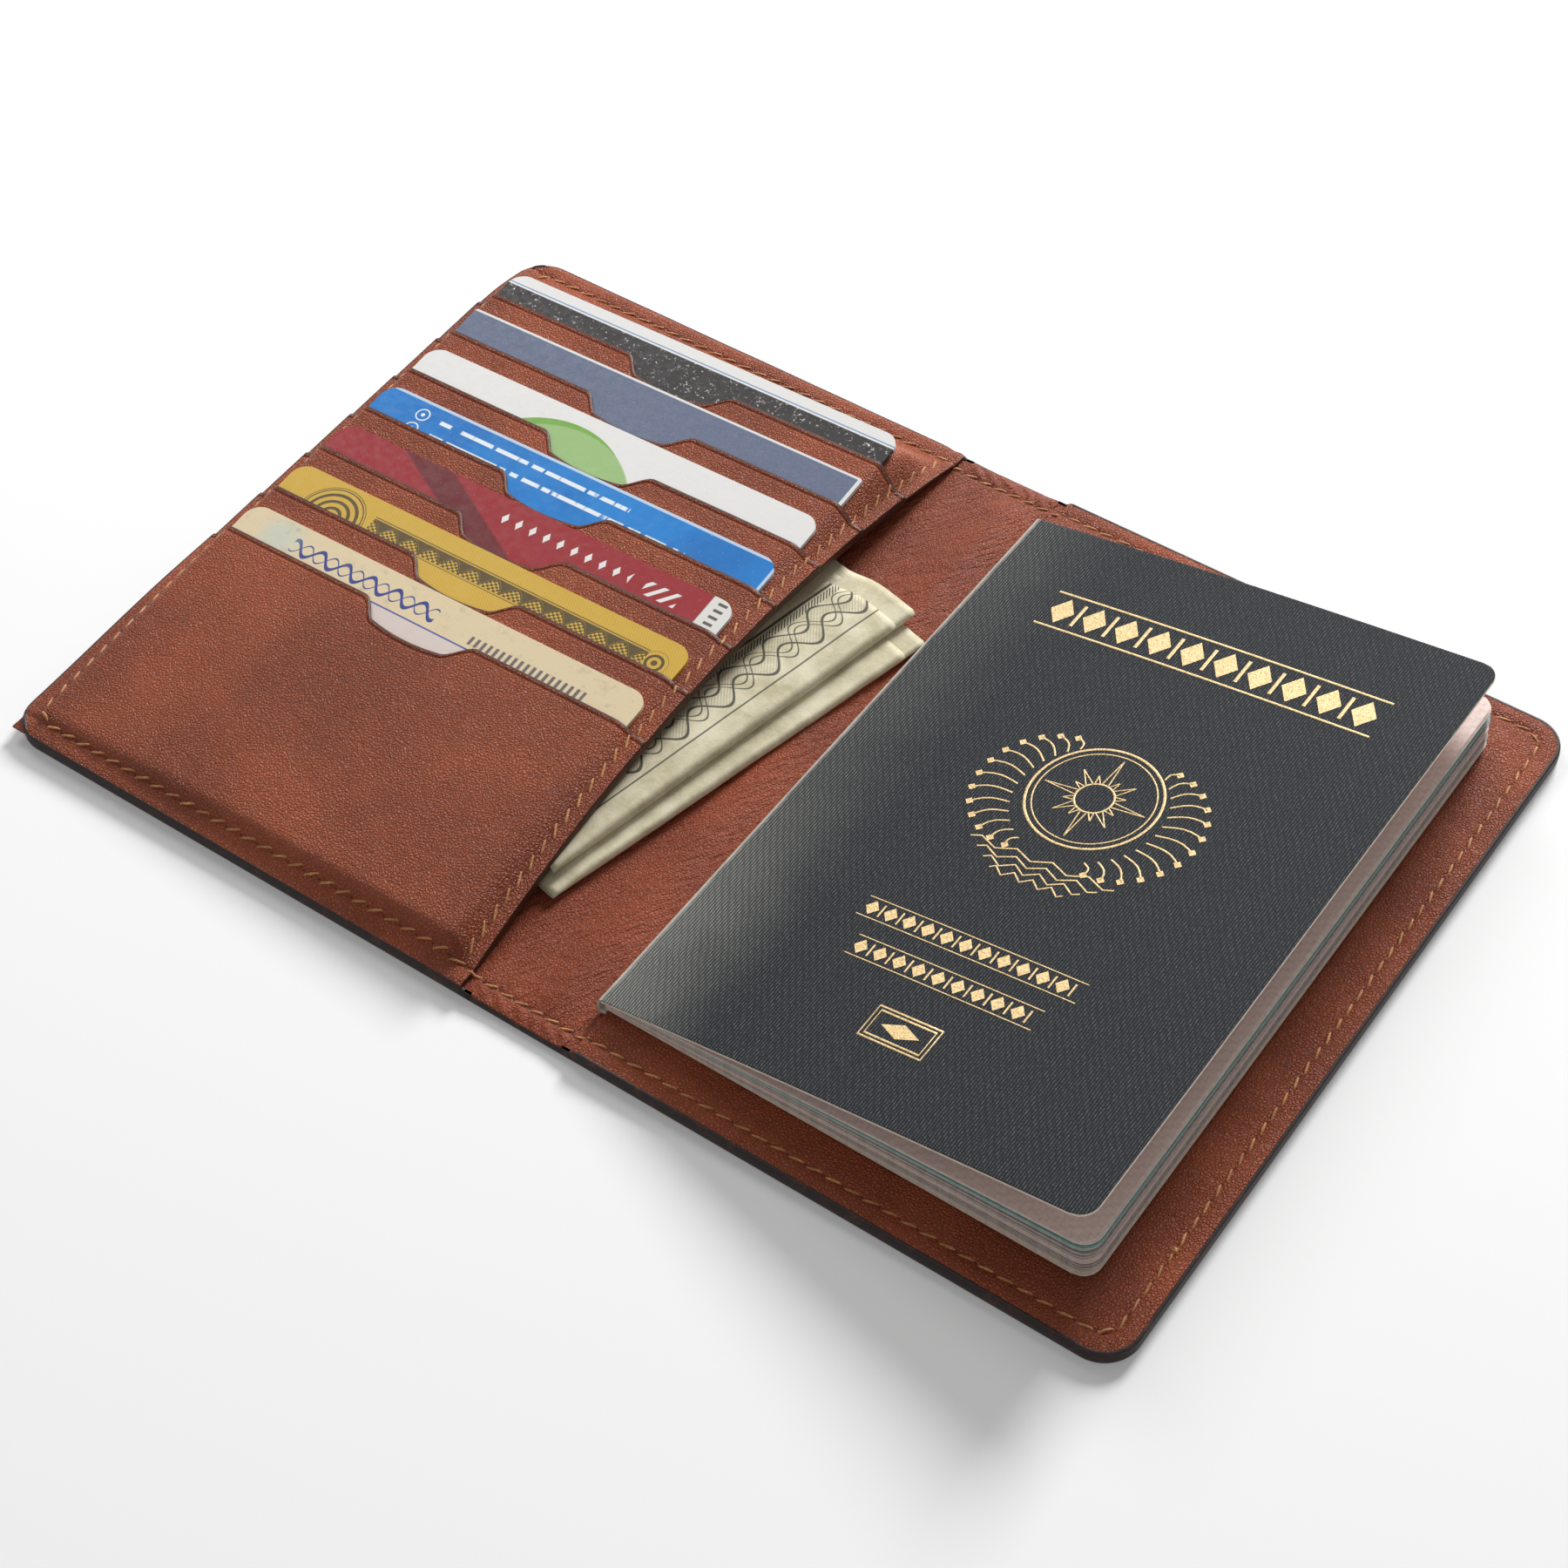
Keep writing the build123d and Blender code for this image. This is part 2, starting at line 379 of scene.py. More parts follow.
def leather_material(name, dark, light, grain, roughness, crease_angle=None):
    """Grained leather: fine cells, soft pores, uneven dye and rubbed high spots."""
    g = Graph(name, light, roughness)
    warp = g.noise(grain * 3, 2)
    cell = g.ramp(g.cells(grain), 0.0, 0.28)
    pores = g.noise(grain * 0.45, 4, 0.65)
    height = g.plus(g.times(cell, 0.55), g.times(pores, 0.5))
    if crease_angle is not None:
        streaks = g.noise(1.0, 3, 0.6, g.stretched(crease_angle, 4.2, 0.75))
        height = g.plus(g.times(height, 0.55), g.times(streaks, 2.4))
    height = g.plus(height, g.times(warp, 0.5))
    dye = g.ramp(g.noise(22, 3), 0.32, 0.7)
    speck = g.ramp(pores, 0.35, 0.62)
    tone = g.plus(g.times(dye, 0.35), g.times(speck, 0.3))
    tone = g.plus(tone, g.times(cell, 0.4))
    g.put(g.shader, "Roughness", g.ramp(pores, 0.3, 0.7, roughness + 0.09, roughness - 0.07))
    g.put(g.shader, "Specular IOR Level", 0.22)
    g.bump(height, 0.26)
    return g.paint(g.mix(tone, dark, light))


def edge_material(name, dark, rubbed):
    """Dark painted edge, a little lighter where it is rubbed."""
    g = Graph(name, dark, 0.5)
    g.put(g.shader, "Specular IOR Level", 0.2)
    worn = g.ramp(g.noise(2.2, 4), 0.52, 0.75)
    g.put(g.shader, "Roughness", g.ramp(worn, 0.0, 1.0, 0.45, 0.6))
    g.bump(g.noise(0.5, 3), 0.05)
    return g.paint(g.mix(worn, dark, rubbed))


def thread_material(name, dark, light):
    g = Graph(name, light, 0.5)
    twist = g.ramp(g.noise(0.22, 2, 0.5, g.stretched(radians(40), 2.6, 0.7)), 0.38, 0.62)
    g.bump(twist, 0.06)
    tone = g.times(g.ramp(g.noise(3.0, 2), 0.3, 0.7), twist)
    return g.paint(g.mix(g.plus(g.times(tone, 0.7), 0.2), dark, light))


def cloth_material(name):
    """Navy book cloth in a fine twill, worn pale at the booklet's spine, with painted highlights: paler
    raised threads, and cloth painted paler towards the spine and its low end.
    """
    g = Graph(name, (0.03, 0.04, 0.055), 0.66)
    drift = g.noise(5, 2)
    across = g.plus(g.along((1, 0, 0)), g.times(drift, 0.5))
    strands = g.math("SINE", g.times(across, 2 * pi / 0.46))
    slope = g.plus(g.along((0.82, 0.57, 0)), g.times(drift, 1.2))
    twill = g.ramp(g.math("SINE", g.times(slope, 2 * pi / 1.05)), -0.8, 0.6, 0.5, 1.0)
    strand = g.ramp(strands, -0.35, 0.75)
    height = g.times(strand, twill)
    sparkle = g.ramp(g.noise(0.42, 3, 0.7), 0.4, 0.62, 0.25, 1.0)
    g.bump(g.times(height, sparkle), 0.12)
    from_spine = g.along((1, 0, 0), passport_x)
    patches = g.noise(9, 3)
    # Painted highlight: the cloth is painted paler towards the booklet's spine and more so towards its low
    # end.
    low_end = g.ramp(g.along((0, 1, 0)), -62.0, 5.0, 1.0, 0.25)
    spread_out = g.plus(from_spine, g.times(patches, 10.0))
    spine_painted_highlight = g.times(g.ramp(spread_out, 2.0, 26.0, 1.1, 0.0), low_end)
    rubbed = g.ramp(g.plus(from_spine, g.times(patches, 0.9)), 0.9, 1.8, 0.9, 0.0)
    # Painted highlight: the raised twill threads are painted paler, over the weave's own pattern.
    pale = g.times(height, sparkle)
    share = g.plus(g.times(pale, 0.47), g.times(spine_painted_highlight, g.plus(height, 0.25)))
    cloth = g.mix(g.math("MINIMUM", share, 1.0), (0.009, 0.012, 0.018), (0.3, 0.3, 0.27))
    g.put(g.shader, "Specular IOR Level", 0.12)
    return g.paint(g.mix(rubbed, cloth, (0.62, 0.59, 0.52)))


def foil_material():
    g = Graph("gold_foil", (0.6, 0.42, 0.19), 0.5, Metallic=0.35)
    flecks = g.ramp(g.noise(0.3, 3), 0.3, 0.62)
    g.bump(flecks, 0.03)
    return g.paint(g.mix(flecks, (0.42, 0.27, 0.1), (0.72, 0.53, 0.27)))


def paper_material(name, pale, tint):
    """Page paper with a fine security tint and fibres."""
    g = Graph(name, pale, 0.7)
    waves = g.math("SINE", g.times(g.along((0.7, 0.7, 0)), 5.2))
    ribbon = g.math("SINE", g.plus(g.times(g.along((0.6, -0.8, 0)), 3.9), waves))
    lines = g.times(g.ramp(ribbon, 0.1, 0.8), 0.3)
    fibre = g.ramp(g.noise(0.7, 4, 0.7), 0.35, 0.7, 0.0, 0.45)
    g.bump(g.noise(0.35, 3), 0.02)
    return g.paint(g.mix(g.plus(lines, fibre), pale, tint))


def board_material():
    g = Graph("backing_board", (0.35, 0.28, 0.2), 0.85)
    fibre = g.noise(0.6, 4, 0.7)
    g.bump(fibre, 0.05)
    return g.paint(g.mix(fibre, (0.28, 0.22, 0.15), (0.42, 0.34, 0.25)))


def note_material(name, printed):
    """Soft worn note paper, printed with plain loops, rules and hatching."""
    g = Graph(name, (0.66, 0.62, 0.42), 0.78)
    across_note, along_note = note_directions()
    u = g.along(across_note, note_origin.dot(across_note))
    v = g.along(along_note, note_origin.dot(along_note))
    soft = g.noise(6, 4)
    paper = g.mix(g.ramp(soft, 0.3, 0.7), (0.46, 0.41, 0.25), (0.70, 0.64, 0.46))
    fold_wear = g.ramp(g.noise(0.8, 4, 0.7), 0.3, 0.75, 0.0, 0.3)
    paper = g.mix(fold_wear, paper, (0.82, 0.74, 0.57))
    g.bump(g.plus(g.noise(0.5, 4, 0.65), g.times(g.noise(5, 2), 3.0)), 0.05)
    if not printed:
        return g.paint(paper)
    hatch = g.ramp(g.math("SINE", g.times(g.plus(u, v), 9.0)), -0.2, 0.5)
    loops = g.math("SINE", g.times(v, 0.62))
    center = g.plus(g.times(loops, 2.1), -9.5)
    scroll = g.size(g.minus(u, center))
    outline = g.within(scroll, 1.5, 2.15, 0.15)
    inner = g.size(g.plus(g.minus(u, -9.5), g.times(loops, 2.6)))
    second = g.within(inner, 0.6, 0.95, 0.12)
    frame_line = g.within(u, -15.9, -15.3)
    block = g.times(g.within(u, -15.0, -13.2), hatch)
    rule = g.within(u, -4.4, -4.1)
    ink = g.most(g.most(outline, second), g.most(frame_line, block))
    ink = g.most(ink, rule)
    shade = g.times(g.within(scroll, 0.0, 1.5, 0.2), g.times(hatch, 0.3))
    ink = g.times(g.most(ink, shade), g.ramp(v, 4.0, 7.0))
    ink = g.times(ink, g.ramp(u, -3.9, -3.6, 1.0, 0.0))
    return g.paint(g.mix(g.times(ink, 0.93), paper, (0.02, 0.02, 0.014)))


class CardGraph(Graph):
    """A card's print, with u across the card and v up it, in millimetres."""

    def __init__(self, number, color):
        super().__init__(f"card_print_{number}", color, 0.42)
        self.put(self.shader, "Specular IOR Level", 0.2)
        low = card_local_box(number)[0]
        self.u = self.along(card_right, low[0])
        self.v = self.along(card_up, low[1])
        self.color = color

    def row(self, low, high):
        return self.within(self.v, low, high, 0.08)

    def column(self, low, high):
        return self.within(self.u, low, high, 0.08)

    def wave(self, socket, pitch, shift=0.0):
        return self.math("SINE", self.plus(self.times(socket, 2 * pi / pitch), shift))

    def radius_from(self, u, v):
        du = self.minus(self.u, u)
        dv = self.minus(self.v, v)
        squares = self.plus(self.times(du, du), self.times(dv, dv))
        return self.math("SQRT", squares)

    def finish(self, color, grime=0.16):
        """Handling marks and scuffs over the print."""
        stains = self.ramp(self.noise(2.6, 5, 0.7), 0.55, 0.75, 0.0, grime)
        color = self.mix(stains, color, (0.2, 0.16, 0.12))
        scuffs = self.ramp(self.noise(0.7, 5, 0.75), 0.62, 0.74, 0.0, 0.35)
        color = self.mix(scuffs, color, (0.8, 0.79, 0.75))
        self.put(self.shader, "Roughness", self.ramp(self.noise(1.4, 4), 0.3, 0.7, 0.34, 0.5))
        self.bump(self.noise(0.9, 4), 0.02)
        return self.paint(color)


def cream_card():
    c = CardGraph(1, (0.74, 0.62, 0.42))
    lines = c.ramp(c.wave(c.v, 0.55), 0.0, 0.8, 0.0, 0.45)
    color = c.mix(lines, c.color, (0.78, 0.56, 0.26))
    low = c.ramp(c.v, 46.4, 46.8, 1.0, 0.0)
    color = c.mix(low, color, (0.70, 0.60, 0.55))
    ribbon = c.plus(c.times(c.wave(c.u, 5.6), 1.3), 49.7)
    band = c.within(c.size(c.minus(c.v, ribbon)), -1.0, 0.42, 0.1)
    ribbon = c.plus(c.times(c.wave(c.u, 5.6, pi), 1.3), 49.7)
    other = c.within(c.size(c.minus(c.v, ribbon)), -1.0, 0.16, 0.08)
    print_area = c.column(12, 44)
    color = c.mix(c.times(c.most(band, other), print_area), color, (0.03, 0.05, 0.25))
    color = c.mix(c.times(c.row(46.5, 46.8), c.column(30, 55)), color, (0.04, 0.08, 0.35))
    ticks = c.times(c.ramp(c.wave(c.u, 1.3), -0.1, 0.2), c.times(c.row(47.6, 49.4), c.column(52, 76)))
    color = c.mix(c.times(ticks, 0.85), color, (0.05, 0.05, 0.08))
    glow = c.ramp(c.radius_from(9, 50), 1.0, 6.0, 0.5, 0.0)
    return c.finish(c.mix(glow, color, (0.45, 0.62, 0.6)), 0.3)


def gold_card():
    c = CardGraph(2, (0.66, 0.42, 0.06))
    grain = c.ramp(c.wave(c.plus(c.u, c.times(c.v, 0.4)), 0.5), 0.2, 0.9, 0.0, 0.35)
    color = c.mix(grain, c.color, (0.38, 0.22, 0.03))
    hump = c.size(c.wave(c.u, 9.0))
    arch = c.minus(c.v, c.plus(c.times(hump, 2.2), 47.4))
    fill = c.ramp(c.times(c.wave(c.u, 1.1), c.wave(c.v, 0.9)), -0.15, 0.1)
    scales = c.times(c.ramp(arch, -0.1, 0.1, 1.0, 0.0), fill)
    outline = c.within(arch, -0.2, 0.22, 0.06)
    band = c.row(47.2, 50.1)
    dark = c.times(band, c.ramp(arch, 0.1, 0.35))
    ink = c.most(c.most(c.times(scales, band), c.times(outline, band)), dark)
    rules = c.most(c.row(50.35, 50.55), c.row(46.8, 46.95))
    ink = c.times(c.most(ink, rules), c.column(20, 79))
    circle = c.radius_from(12.5, 46.5)
    ring = c.most(c.within(circle, 5.9, 6.15, 0.06), c.within(circle, 6.4, 6.55, 0.06))
    petals = c.times(c.ramp(circle, 5.4, 5.5, 1.0, 0.0), c.ramp(c.wave(circle, 1.5), 0.1, 0.35))
    ink = c.most(ink, c.most(ring, petals))
    swirl = c.radius_from(81, 48.6)
    ink = c.most(ink, c.times(c.ramp(c.wave(swirl, 1.2), 0.0, 0.25), c.ramp(swirl, 2.4, 2.6, 1.0, 0.0)))
    return c.finish(c.mix(c.times(ink, 0.9), color, (0.04, 0.028, 0.015)), 0.12)


def red_card():
    c = CardGraph(3, (0.32, 0.018, 0.025))
    dots = c.times(c.wave(c.u, 0.62), c.wave(c.v, 0.62))
    color = c.mix(c.ramp(dots, 0.2, 0.7, 0.0, 0.5), c.color, (0.15, 0.008, 0.012))
    slope = c.plus(c.u, c.times(c.v, 1.9))
    color = c.mix(c.within(slope, 116, 127, 0.6), color, (0.13, 0.01, 0.014))
    bars = c.ramp(c.wave(c.plus(c.u, c.times(c.v, -0.8)), 2.6), 0.25, 0.4)
    print_area = c.times(c.row(48.4, 51.6), c.column(37, 66))
    lozenges = c.plus(c.size(c.wave(c.u, 6.0)), c.times(c.size(c.minus(c.v, 50.0)), 0.55))
    color = c.mix(c.times(c.ramp(lozenges, 0.62, 0.7, 1.0, 0.0), print_area), color, (0.8, 0.78, 0.76))
    color = c.mix(c.times(bars, c.times(c.row(48.2, 51.2), c.column(69, 76))), color, (0.8, 0.78, 0.76))
    color = c.mix(c.ramp(c.u, 80.6, 80.9), color, (0.76, 0.74, 0.7))
    ticks = c.times(c.ramp(c.wave(c.v, 1.5), 0.2, 0.4), c.column(82.2, 84.0))
    return c.finish(c.mix(ticks, color, (0.12, 0.1, 0.1)), 0.1)


def blue_card():
    c = CardGraph(4, (0.006, 0.16, 0.5))
    color = c.mix(c.ramp(c.noise(14, 2), 0.3, 0.7), c.color, (0.01, 0.22, 0.62))
    dashes = c.ramp(c.noise(1.0, 1, 0.5, c.stretched(0, 1.5, 60)), 0.4, 0.48)
    upper = c.times(c.row(50.3, 51.15), c.column(14, 56))
    lower = c.times(c.row(46.9, 47.75), c.column(14, 70))
    color = c.mix(c.times(dashes, c.most(upper, lower)), color, (0.8, 0.86, 0.9))
    for height in (50.7, 47.2):
        circle = c.radius_from(10, height)
        mark = c.most(c.within(circle, 1.15, 1.4, 0.06), c.ramp(circle, 0.35, 0.45, 1.0, 0.0))
        color = c.mix(mark, color, (0.8, 0.86, 0.9))
    rim = c.most(c.ramp(c.v, 53.3, 53.5), c.ramp(c.u, 84.9, 85.2))
    return c.finish(c.mix(c.times(rim, 0.75), color, (0.7, 0.8, 0.86)), 0.05)


def white_card():
    c = CardGraph(5, (0.79, 0.78, 0.76))
    color = c.mix(c.ramp(c.radius_from(36, 33), 18.0, 18.2, 1.0, 0.0), c.color, (0.19, 0.4, 0.07))
    color = c.mix(c.ramp(c.radius_from(37.5, 31.5), 18.4, 18.8, 1.0, 0.0), color, (0.32, 0.5, 0.2))
    return c.finish(color, 0.06)


def slate_card():
    c = CardGraph(6, (0.115, 0.14, 0.22))
    weave = c.ramp(c.noise(0.5, 3, 0.7), 0.35, 0.7, 0.0, 0.4)
    color = c.mix(weave, c.color, (0.19, 0.22, 0.31))
    color = c.mix(c.ramp(c.v, 53.4, 53.6), color, (0.75, 0.75, 0.74))
    color = c.mix(c.ramp(c.u, 84.8, 85.0), color, (0.75, 0.75, 0.74))
    return c.finish(color, 0.05)


def stripe_card():
    c = CardGraph(7, (0.78, 0.77, 0.75))
    stripe = c.times(c.row(40.0, 51.1), c.ramp(c.noise(0.8, 6, 0.8), 0.36, 0.42))
    color = c.mix(stripe, c.color, (0.022, 0.018, 0.018))
    color = c.mix(c.row(51.5, 51.75), color, (0.16, 0.28, 0.5))
    return c.finish(color, 0.06)


# ---- places that the cloth and note prints need ----

passport_x, passport_low_y = node_box("passport_back_cover")[0].xy
passport_high_x = node_box("passport_back_cover")[1].x
passport_height = -2 * passport_low_y
opening = next(j for j in frame["joints"] if j["name"] == "passport_opening")
page_hinge = Vector(opening["pos_m"]) / MM

note_foot = [Vector((-9.4, -49.4, 1.75)), Vector((-11.4, -46.6, 3.55))]
note_base = [1.78, 3.65]
note_height = [1.9, 2.3]
note_layer_gap = 0.26
note_thickness = 0.12
note_lean = [radians(13.19), radians(11.59)]
note_length, note_width = 78.0, 33.0
note_ends = [(0.0, 75.5), (1.0, 80.0), (2.2, 77.8)]
note_origin = note_foot[1]


def note_directions():
    """Across and along the upper banknotes."""
    lean = note_lean[1]
    return Vector((cos(lean), -sin(lean), 0)), Vector((sin(lean), cos(lean), 0))


# ---- the materials ----

pocket_leather = leather_material("pocket_leather", (0.12, 0.019, 0.005), (0.43, 0.1, 0.036), 0.55, 0.38)
cover_leather = leather_material("cover_leather", (0.13, 0.022, 0.007), (0.34, 0.078, 0.03), 0.6, 0.48)
lining_leather = leather_material(
    "lining_leather", (0.12, 0.018, 0.006), (0.34, 0.074, 0.026), 0.55, 0.46, radians(64)
)
edge_paint = edge_material("edge_paint", (0.022, 0.013, 0.013), (0.075, 0.038, 0.028))
mouth_paint = edge_material("mouth_paint", (0.045, 0.014, 0.008), (0.11, 0.035, 0.018))
panel_thread = thread_material("thread_tan", (0.26, 0.08, 0.025), (0.85, 0.42, 0.15))
# Painted shade: the stitch holes are small dark caps, coloured as the shade inside a hole.
hole_painted_shade = Graph("thread_hole_shade", (0.03, 0.012, 0.008), 0.9).material
book_cloth = cloth_material("passport_cloth")
gold_foil = foil_material()
cream_paper = paper_material("page_cream", (0.8, 0.7, 0.58), (0.6, 0.5, 0.42))
rose_paper = paper_material("page_rose", (0.82, 0.69, 0.63), (0.62, 0.48, 0.45))
# Painted shade: a darkened copy of the rose page paper, for page blocks that lie deeper in the fan.
shaded_rose_paper = paper_material("page_rose_painted_shade", (0.46, 0.38, 0.36), (0.26, 0.21, 0.21))
teal_paper = paper_material("page_teal", (0.3, 0.5, 0.48), (0.17, 0.35, 0.35))
note_printed = note_material("note_printed", True)
note_plain = note_material("note_plain", False)
board = board_material()
leather_faces = [pocket_leather, lining_leather, mouth_paint]

# ---- the card panel: seven leather pockets, stepped up the panel ----

top_facing_leather = 0.7
front_leather = 0.8
step_leather = 0.5
card_clearance = 0.1
notch_half, notch_run, notch_depth, notch_sag = 12.0, 5.0, 4.0, 0.7
seam_level = 1.1
mouth_step = 0.5
free_edge_rise = 7.2
free_edge_pull = 2.6
free_edge_stack = 1.75


def notch(x):
    """Depth of the thumb notch below the straight mouth."""
    off = abs(x - notch_middle)
    depth = notch_depth * smooth(notch_half, notch_half - notch_run, off)
    return depth + notch_sag * (1 - clamp(off / (notch_half - notch_run)) ** 2)


def bow(y):
    """Share by which the card panel's open side springs up between its sewn ends."""
    return clamp(1 - (y / (half_height - 2)) ** 2)


def pulled(x, y):
    """Distance across the card panel once its open side is drawn in by the bow."""
    return x - free_edge_pull * bow(y) * smooth(70, panel_width - 2, x)


def unpulled(x, y):
    """The opposite of pulled: where on the flat card panel a drawn-in place was."""
    guess = x
    for _ in range(4):
        guess = x + free_edge_pull * bow(y) * smooth(70, panel_width - 2, guess)
    return guess


def on_panel(x, y, level):
    """A point of the card panel, its level over the lining."""
    return Vector((-half_width + pulled(x, y) * cos(panel_tilt), y, panel_top + level))


def mouth_share(number, y):
    """How near to its own mouth a pocket is, from the mouth below (0) to its own (1)."""
    if number == 1:
        return smooth(-half_height, mouths[0], y)
    return clamp((y - mouths[number - 2]) / (mouths[number - 1] - mouths[number - 2]))


def sewn_left(y):
    """Height of the sewn stack of leathers at the outer side, thickest where the pockets meet."""
    return seam_level + 1.5 * smooth(0, 42, half_height + y) * smooth(0, 14, half_height - y)


def sewn_right(y):
    """Height of the sewn stack at the open side, which springs up over the banknotes."""
    return 0.95 + free_edge_rise * bow(y)


def seam_groove(distance, inset=seam_inset):
    return -0.26 * bell(distance - inset, 0.42)


def rounded_border(x, y, level, step):
    """Brings the leather down from over the cards to the sewn stack at both sides."""
    left = smooth(1.2, 4.7, x)
    right = smooth(1.0, 5.7, panel_width - x)
    low_left = sewn_left(y) + step - 0.3 * (1 - smooth(0, 1.0, x))
    low_right = sewn_right(y) + step - 0.25 * (1 - smooth(0, 1.0, panel_width - x))
    level = low_left + (level - low_left) * left
    level = low_right + (level - low_right) * right
    return level + seam_groove(x) + seam_groove(panel_width - x, free_edge_inset)


def pocket_face(number, x, y):
    """Height over the lining of the outside of a pocket's leather."""
    face_y, face_z = card_faces[number - 1]
    leather = front_leather if number == 1 else step_leather
    level = face_z + (y - face_y) * tan(card_tilt) + pulled(x, y) * tan(panel_tilt)
    level += card_clearance + leather + 0.09 * (1 + wobble(x, y, 17, number))
    if number == 1:
        middle = smooth(0, 30, x) * smooth(0, 30, panel_width - x)
        level += 0.45 * middle * sin(pi * clamp((y + half_height) / (mouths[0] + half_height)))
    level = max(level, seam_level)
    level = rounded_border(x, y, level, mouth_step * mouth_share(number, y))
    if number == 1:
        foot = smooth(1.2, 5.6, half_height + y)
        level = seam_level + (level - seam_level) * foot
        level += seam_groove(half_height + y) - 0.3 * (1 - smooth(0, 1.0, half_height + y))
    return level


def top_facing(x, y):
    """Height over the lining of the leather above the highest pocket."""
    level = pulled(x, y) * tan(panel_tilt) + 4.9
    fall = smooth(mouths[-1] + 5, half_height - 3.6, y)
    level = level + (seam_level - level) * fall
    level = rounded_border(x, y, level, 0)
    level += seam_groove(half_height - y) - 0.3 * (1 - smooth(0, 1.0, half_height - y))
    return level + 0.07 * wobble(x, y, 12, 9)


def card_panel_level(x, y):
    """Height over the lining of whatever leather lies on top there."""
    for number, mouth in enumerate(mouths, 1):
        if y <= mouth - notch(x):
            return pocket_face(number, x, y)
    return top_facing(x, y)


def free_edge_level(y):
    """Height over the lining of the leather under the pockets, at the open side."""
    return max(sewn_right(y) - free_edge_stack, 0.06)


def pocket_columns():
    xs = [x for x in border_steps if x < 10]
    xs += [13, 17, 21, 25, 29, 32, 34]
    steps = 36
    xs += [notch_middle - notch_half - 0.6 + (2 * notch_half + 1.2) * i / steps for i in range(steps + 1)]
    xs += [62, 66, 70, 75, 80, 84]
    return xs + [panel_width - x for x in reversed(border_steps) if x < 9]


def mouth_shape(offset):
    """Rounded lip, then the creased line that runs along a pocket's mouth."""
    return -0.14 * bell(offset, 0.18) - 0.2 * bell(offset - 1.05, 0.17) + 0.06 * bell(offset - 0.6, 0.3)


mouth_steps = [0, 0.1, 0.28, 0.5, 0.72, 0.9, 1.05, 1.2, 1.4, 1.8, 2.5, 3.5]


def pocket_grid(number):
    mouth = mouths[number - 1]
    if number == 1:
        depth = mouth + half_height
        middle = [5.5 + i * (depth - 5.5 - 9) / 9 for i in range(10)]
        offsets = mouth_steps + middle + [depth - d for d in reversed(border_steps) if d < 8.5]
    else:
        depth = 26.0
        offsets = mouth_steps + [5.2, 7.5, 10, 13, 17, 21, depth]
    top, bottom = [], []
    leather = front_leather if number == 1 else step_leather
    for offset in reversed(offsets):
        upper, lower = [], []
        for x in pocket_columns():
            y = mouth - notch(x) - offset * (depth - notch(x)) / depth
            inset = corner_inset(half_height + y, corner_radius) if number == 1 else 0
            across = x + inset * (1 - x / panel_width)
            level = pocket_face(number, across, y) + mouth_shape(offset)
            if number > 1:
                level -= 0.5 * smooth(14, depth, offset)
            edge = smooth(4.2, 1.5, panel_width - x)
            stack = max(level - free_edge_level(y) - leather, 0.0) if number == 1 or offset < 14 else 0
            upper.append(on_panel(across, y, level))
            lower.append(on_panel(across, y, level - leather - edge * stack))
        top.append(upper)
        bottom.append(lower)
    return top, bottom


def card_pockets():
    for number in range(card_count, 0, -1):
        top, bottom = pocket_grid(number)
        face = shell(f"pocket_leather_{number}", top, bottom, leather_faces, 0.1, painted=3)
        settle(face, "pocket_leather", "left_cover", f"card_pocket_{number}")


def bill_pocket_roof():
    """The sheet under the pockets, over the banknotes. It lifts at the card panel's open side."""
    top, bottom = [], []
    for y in spread(-half_height + 0.2, mouths[-1] - 2):
        upper, lower = [], []
        for x in [0.6, 6, 20, 40, 60, 72, 80, 84, 87, 89, 91, 92.5, 94, 95, panel_width - 0.15]:
            lifted = x * tan(panel_tilt) + 0.3
            lifted = 0.4 + (lifted - 0.4) * smooth(1, 12, half_height + y)
            level = lifted + (free_edge_level(y) + 0.3 - lifted) * smooth(76, 94, x)
            upper.append(on_panel(x, y, level))
            lower.append(on_panel(x, y, level - 0.3))
        top.append(upper)
        bottom.append(lower)
    sheet = shell("bill_pocket_roof", top, bottom, [lining_leather, lining_leather, edge_paint], 0.05)
    settle(sheet, "pocket_leather", "left_cover")


def card_backing():
    """The panel's own leather, which shows above the highest pocket."""
    top, bottom = [], []
    rows = [mouths[-1] - 12 + i * 1.5 for i in range(12)]
    rows += [half_height - d for d in reversed(border_steps) if d < 11]
    for y in rows:
        inset = corner_inset(half_height - y, corner_radius)
        upper, lower = [], []
        for x in pocket_columns():
            across = x + inset * (1 - x / panel_width)
            level = top_facing(across, y)
            thick = top_facing_leather if level > 1.0 else level - 0.05
            upper.append(on_panel(across, y, level))
            lower.append(on_panel(across, y, level - thick))
        top.append(upper)
        bottom.append(lower)
    face = shell("card_panel_face", top, bottom, leather_faces, 0.1)
    settle(face, "pocket_leather", "left_cover", "card_panel_backing")


def cards():
    prints = [cream_card, gold_card, red_card, blue_card, white_card, slate_card, stripe_card]
    for number, make in enumerate(prints, 1):
        cover_node(f"card_{number}", make())


# ---- outer leather, passport pocket and the limp spine ----

def cover_face(x, y):
    return cover_top


def underside(x, y, side):
    """The outer leather's underside, with the sunk channel that the stitches lie in."""
    distance = edge_distance(x, y, side)
    inward = 0.22 * (1 - smooth(0, 0.9, distance))
    return inward + 0.42 * bell(distance - seam_inset, 0.55)


def outer_covers():
    for side, name in ((-1, "left"), (1, "right")):
        top = panel_grid(hinge_x * side, side, cover_face)
        bottom = [[Vector((p.x, p.y, underside(p.x, p.y, side))) for p in row] for row in top]
        cover = shell(f"outer_leather_{name}", top, bottom, [cover_leather, cover_leather, edge_paint], 0.0)
        settle(cover, "cover_leather", f"{name}_cover", f"outer_cover_{name}")


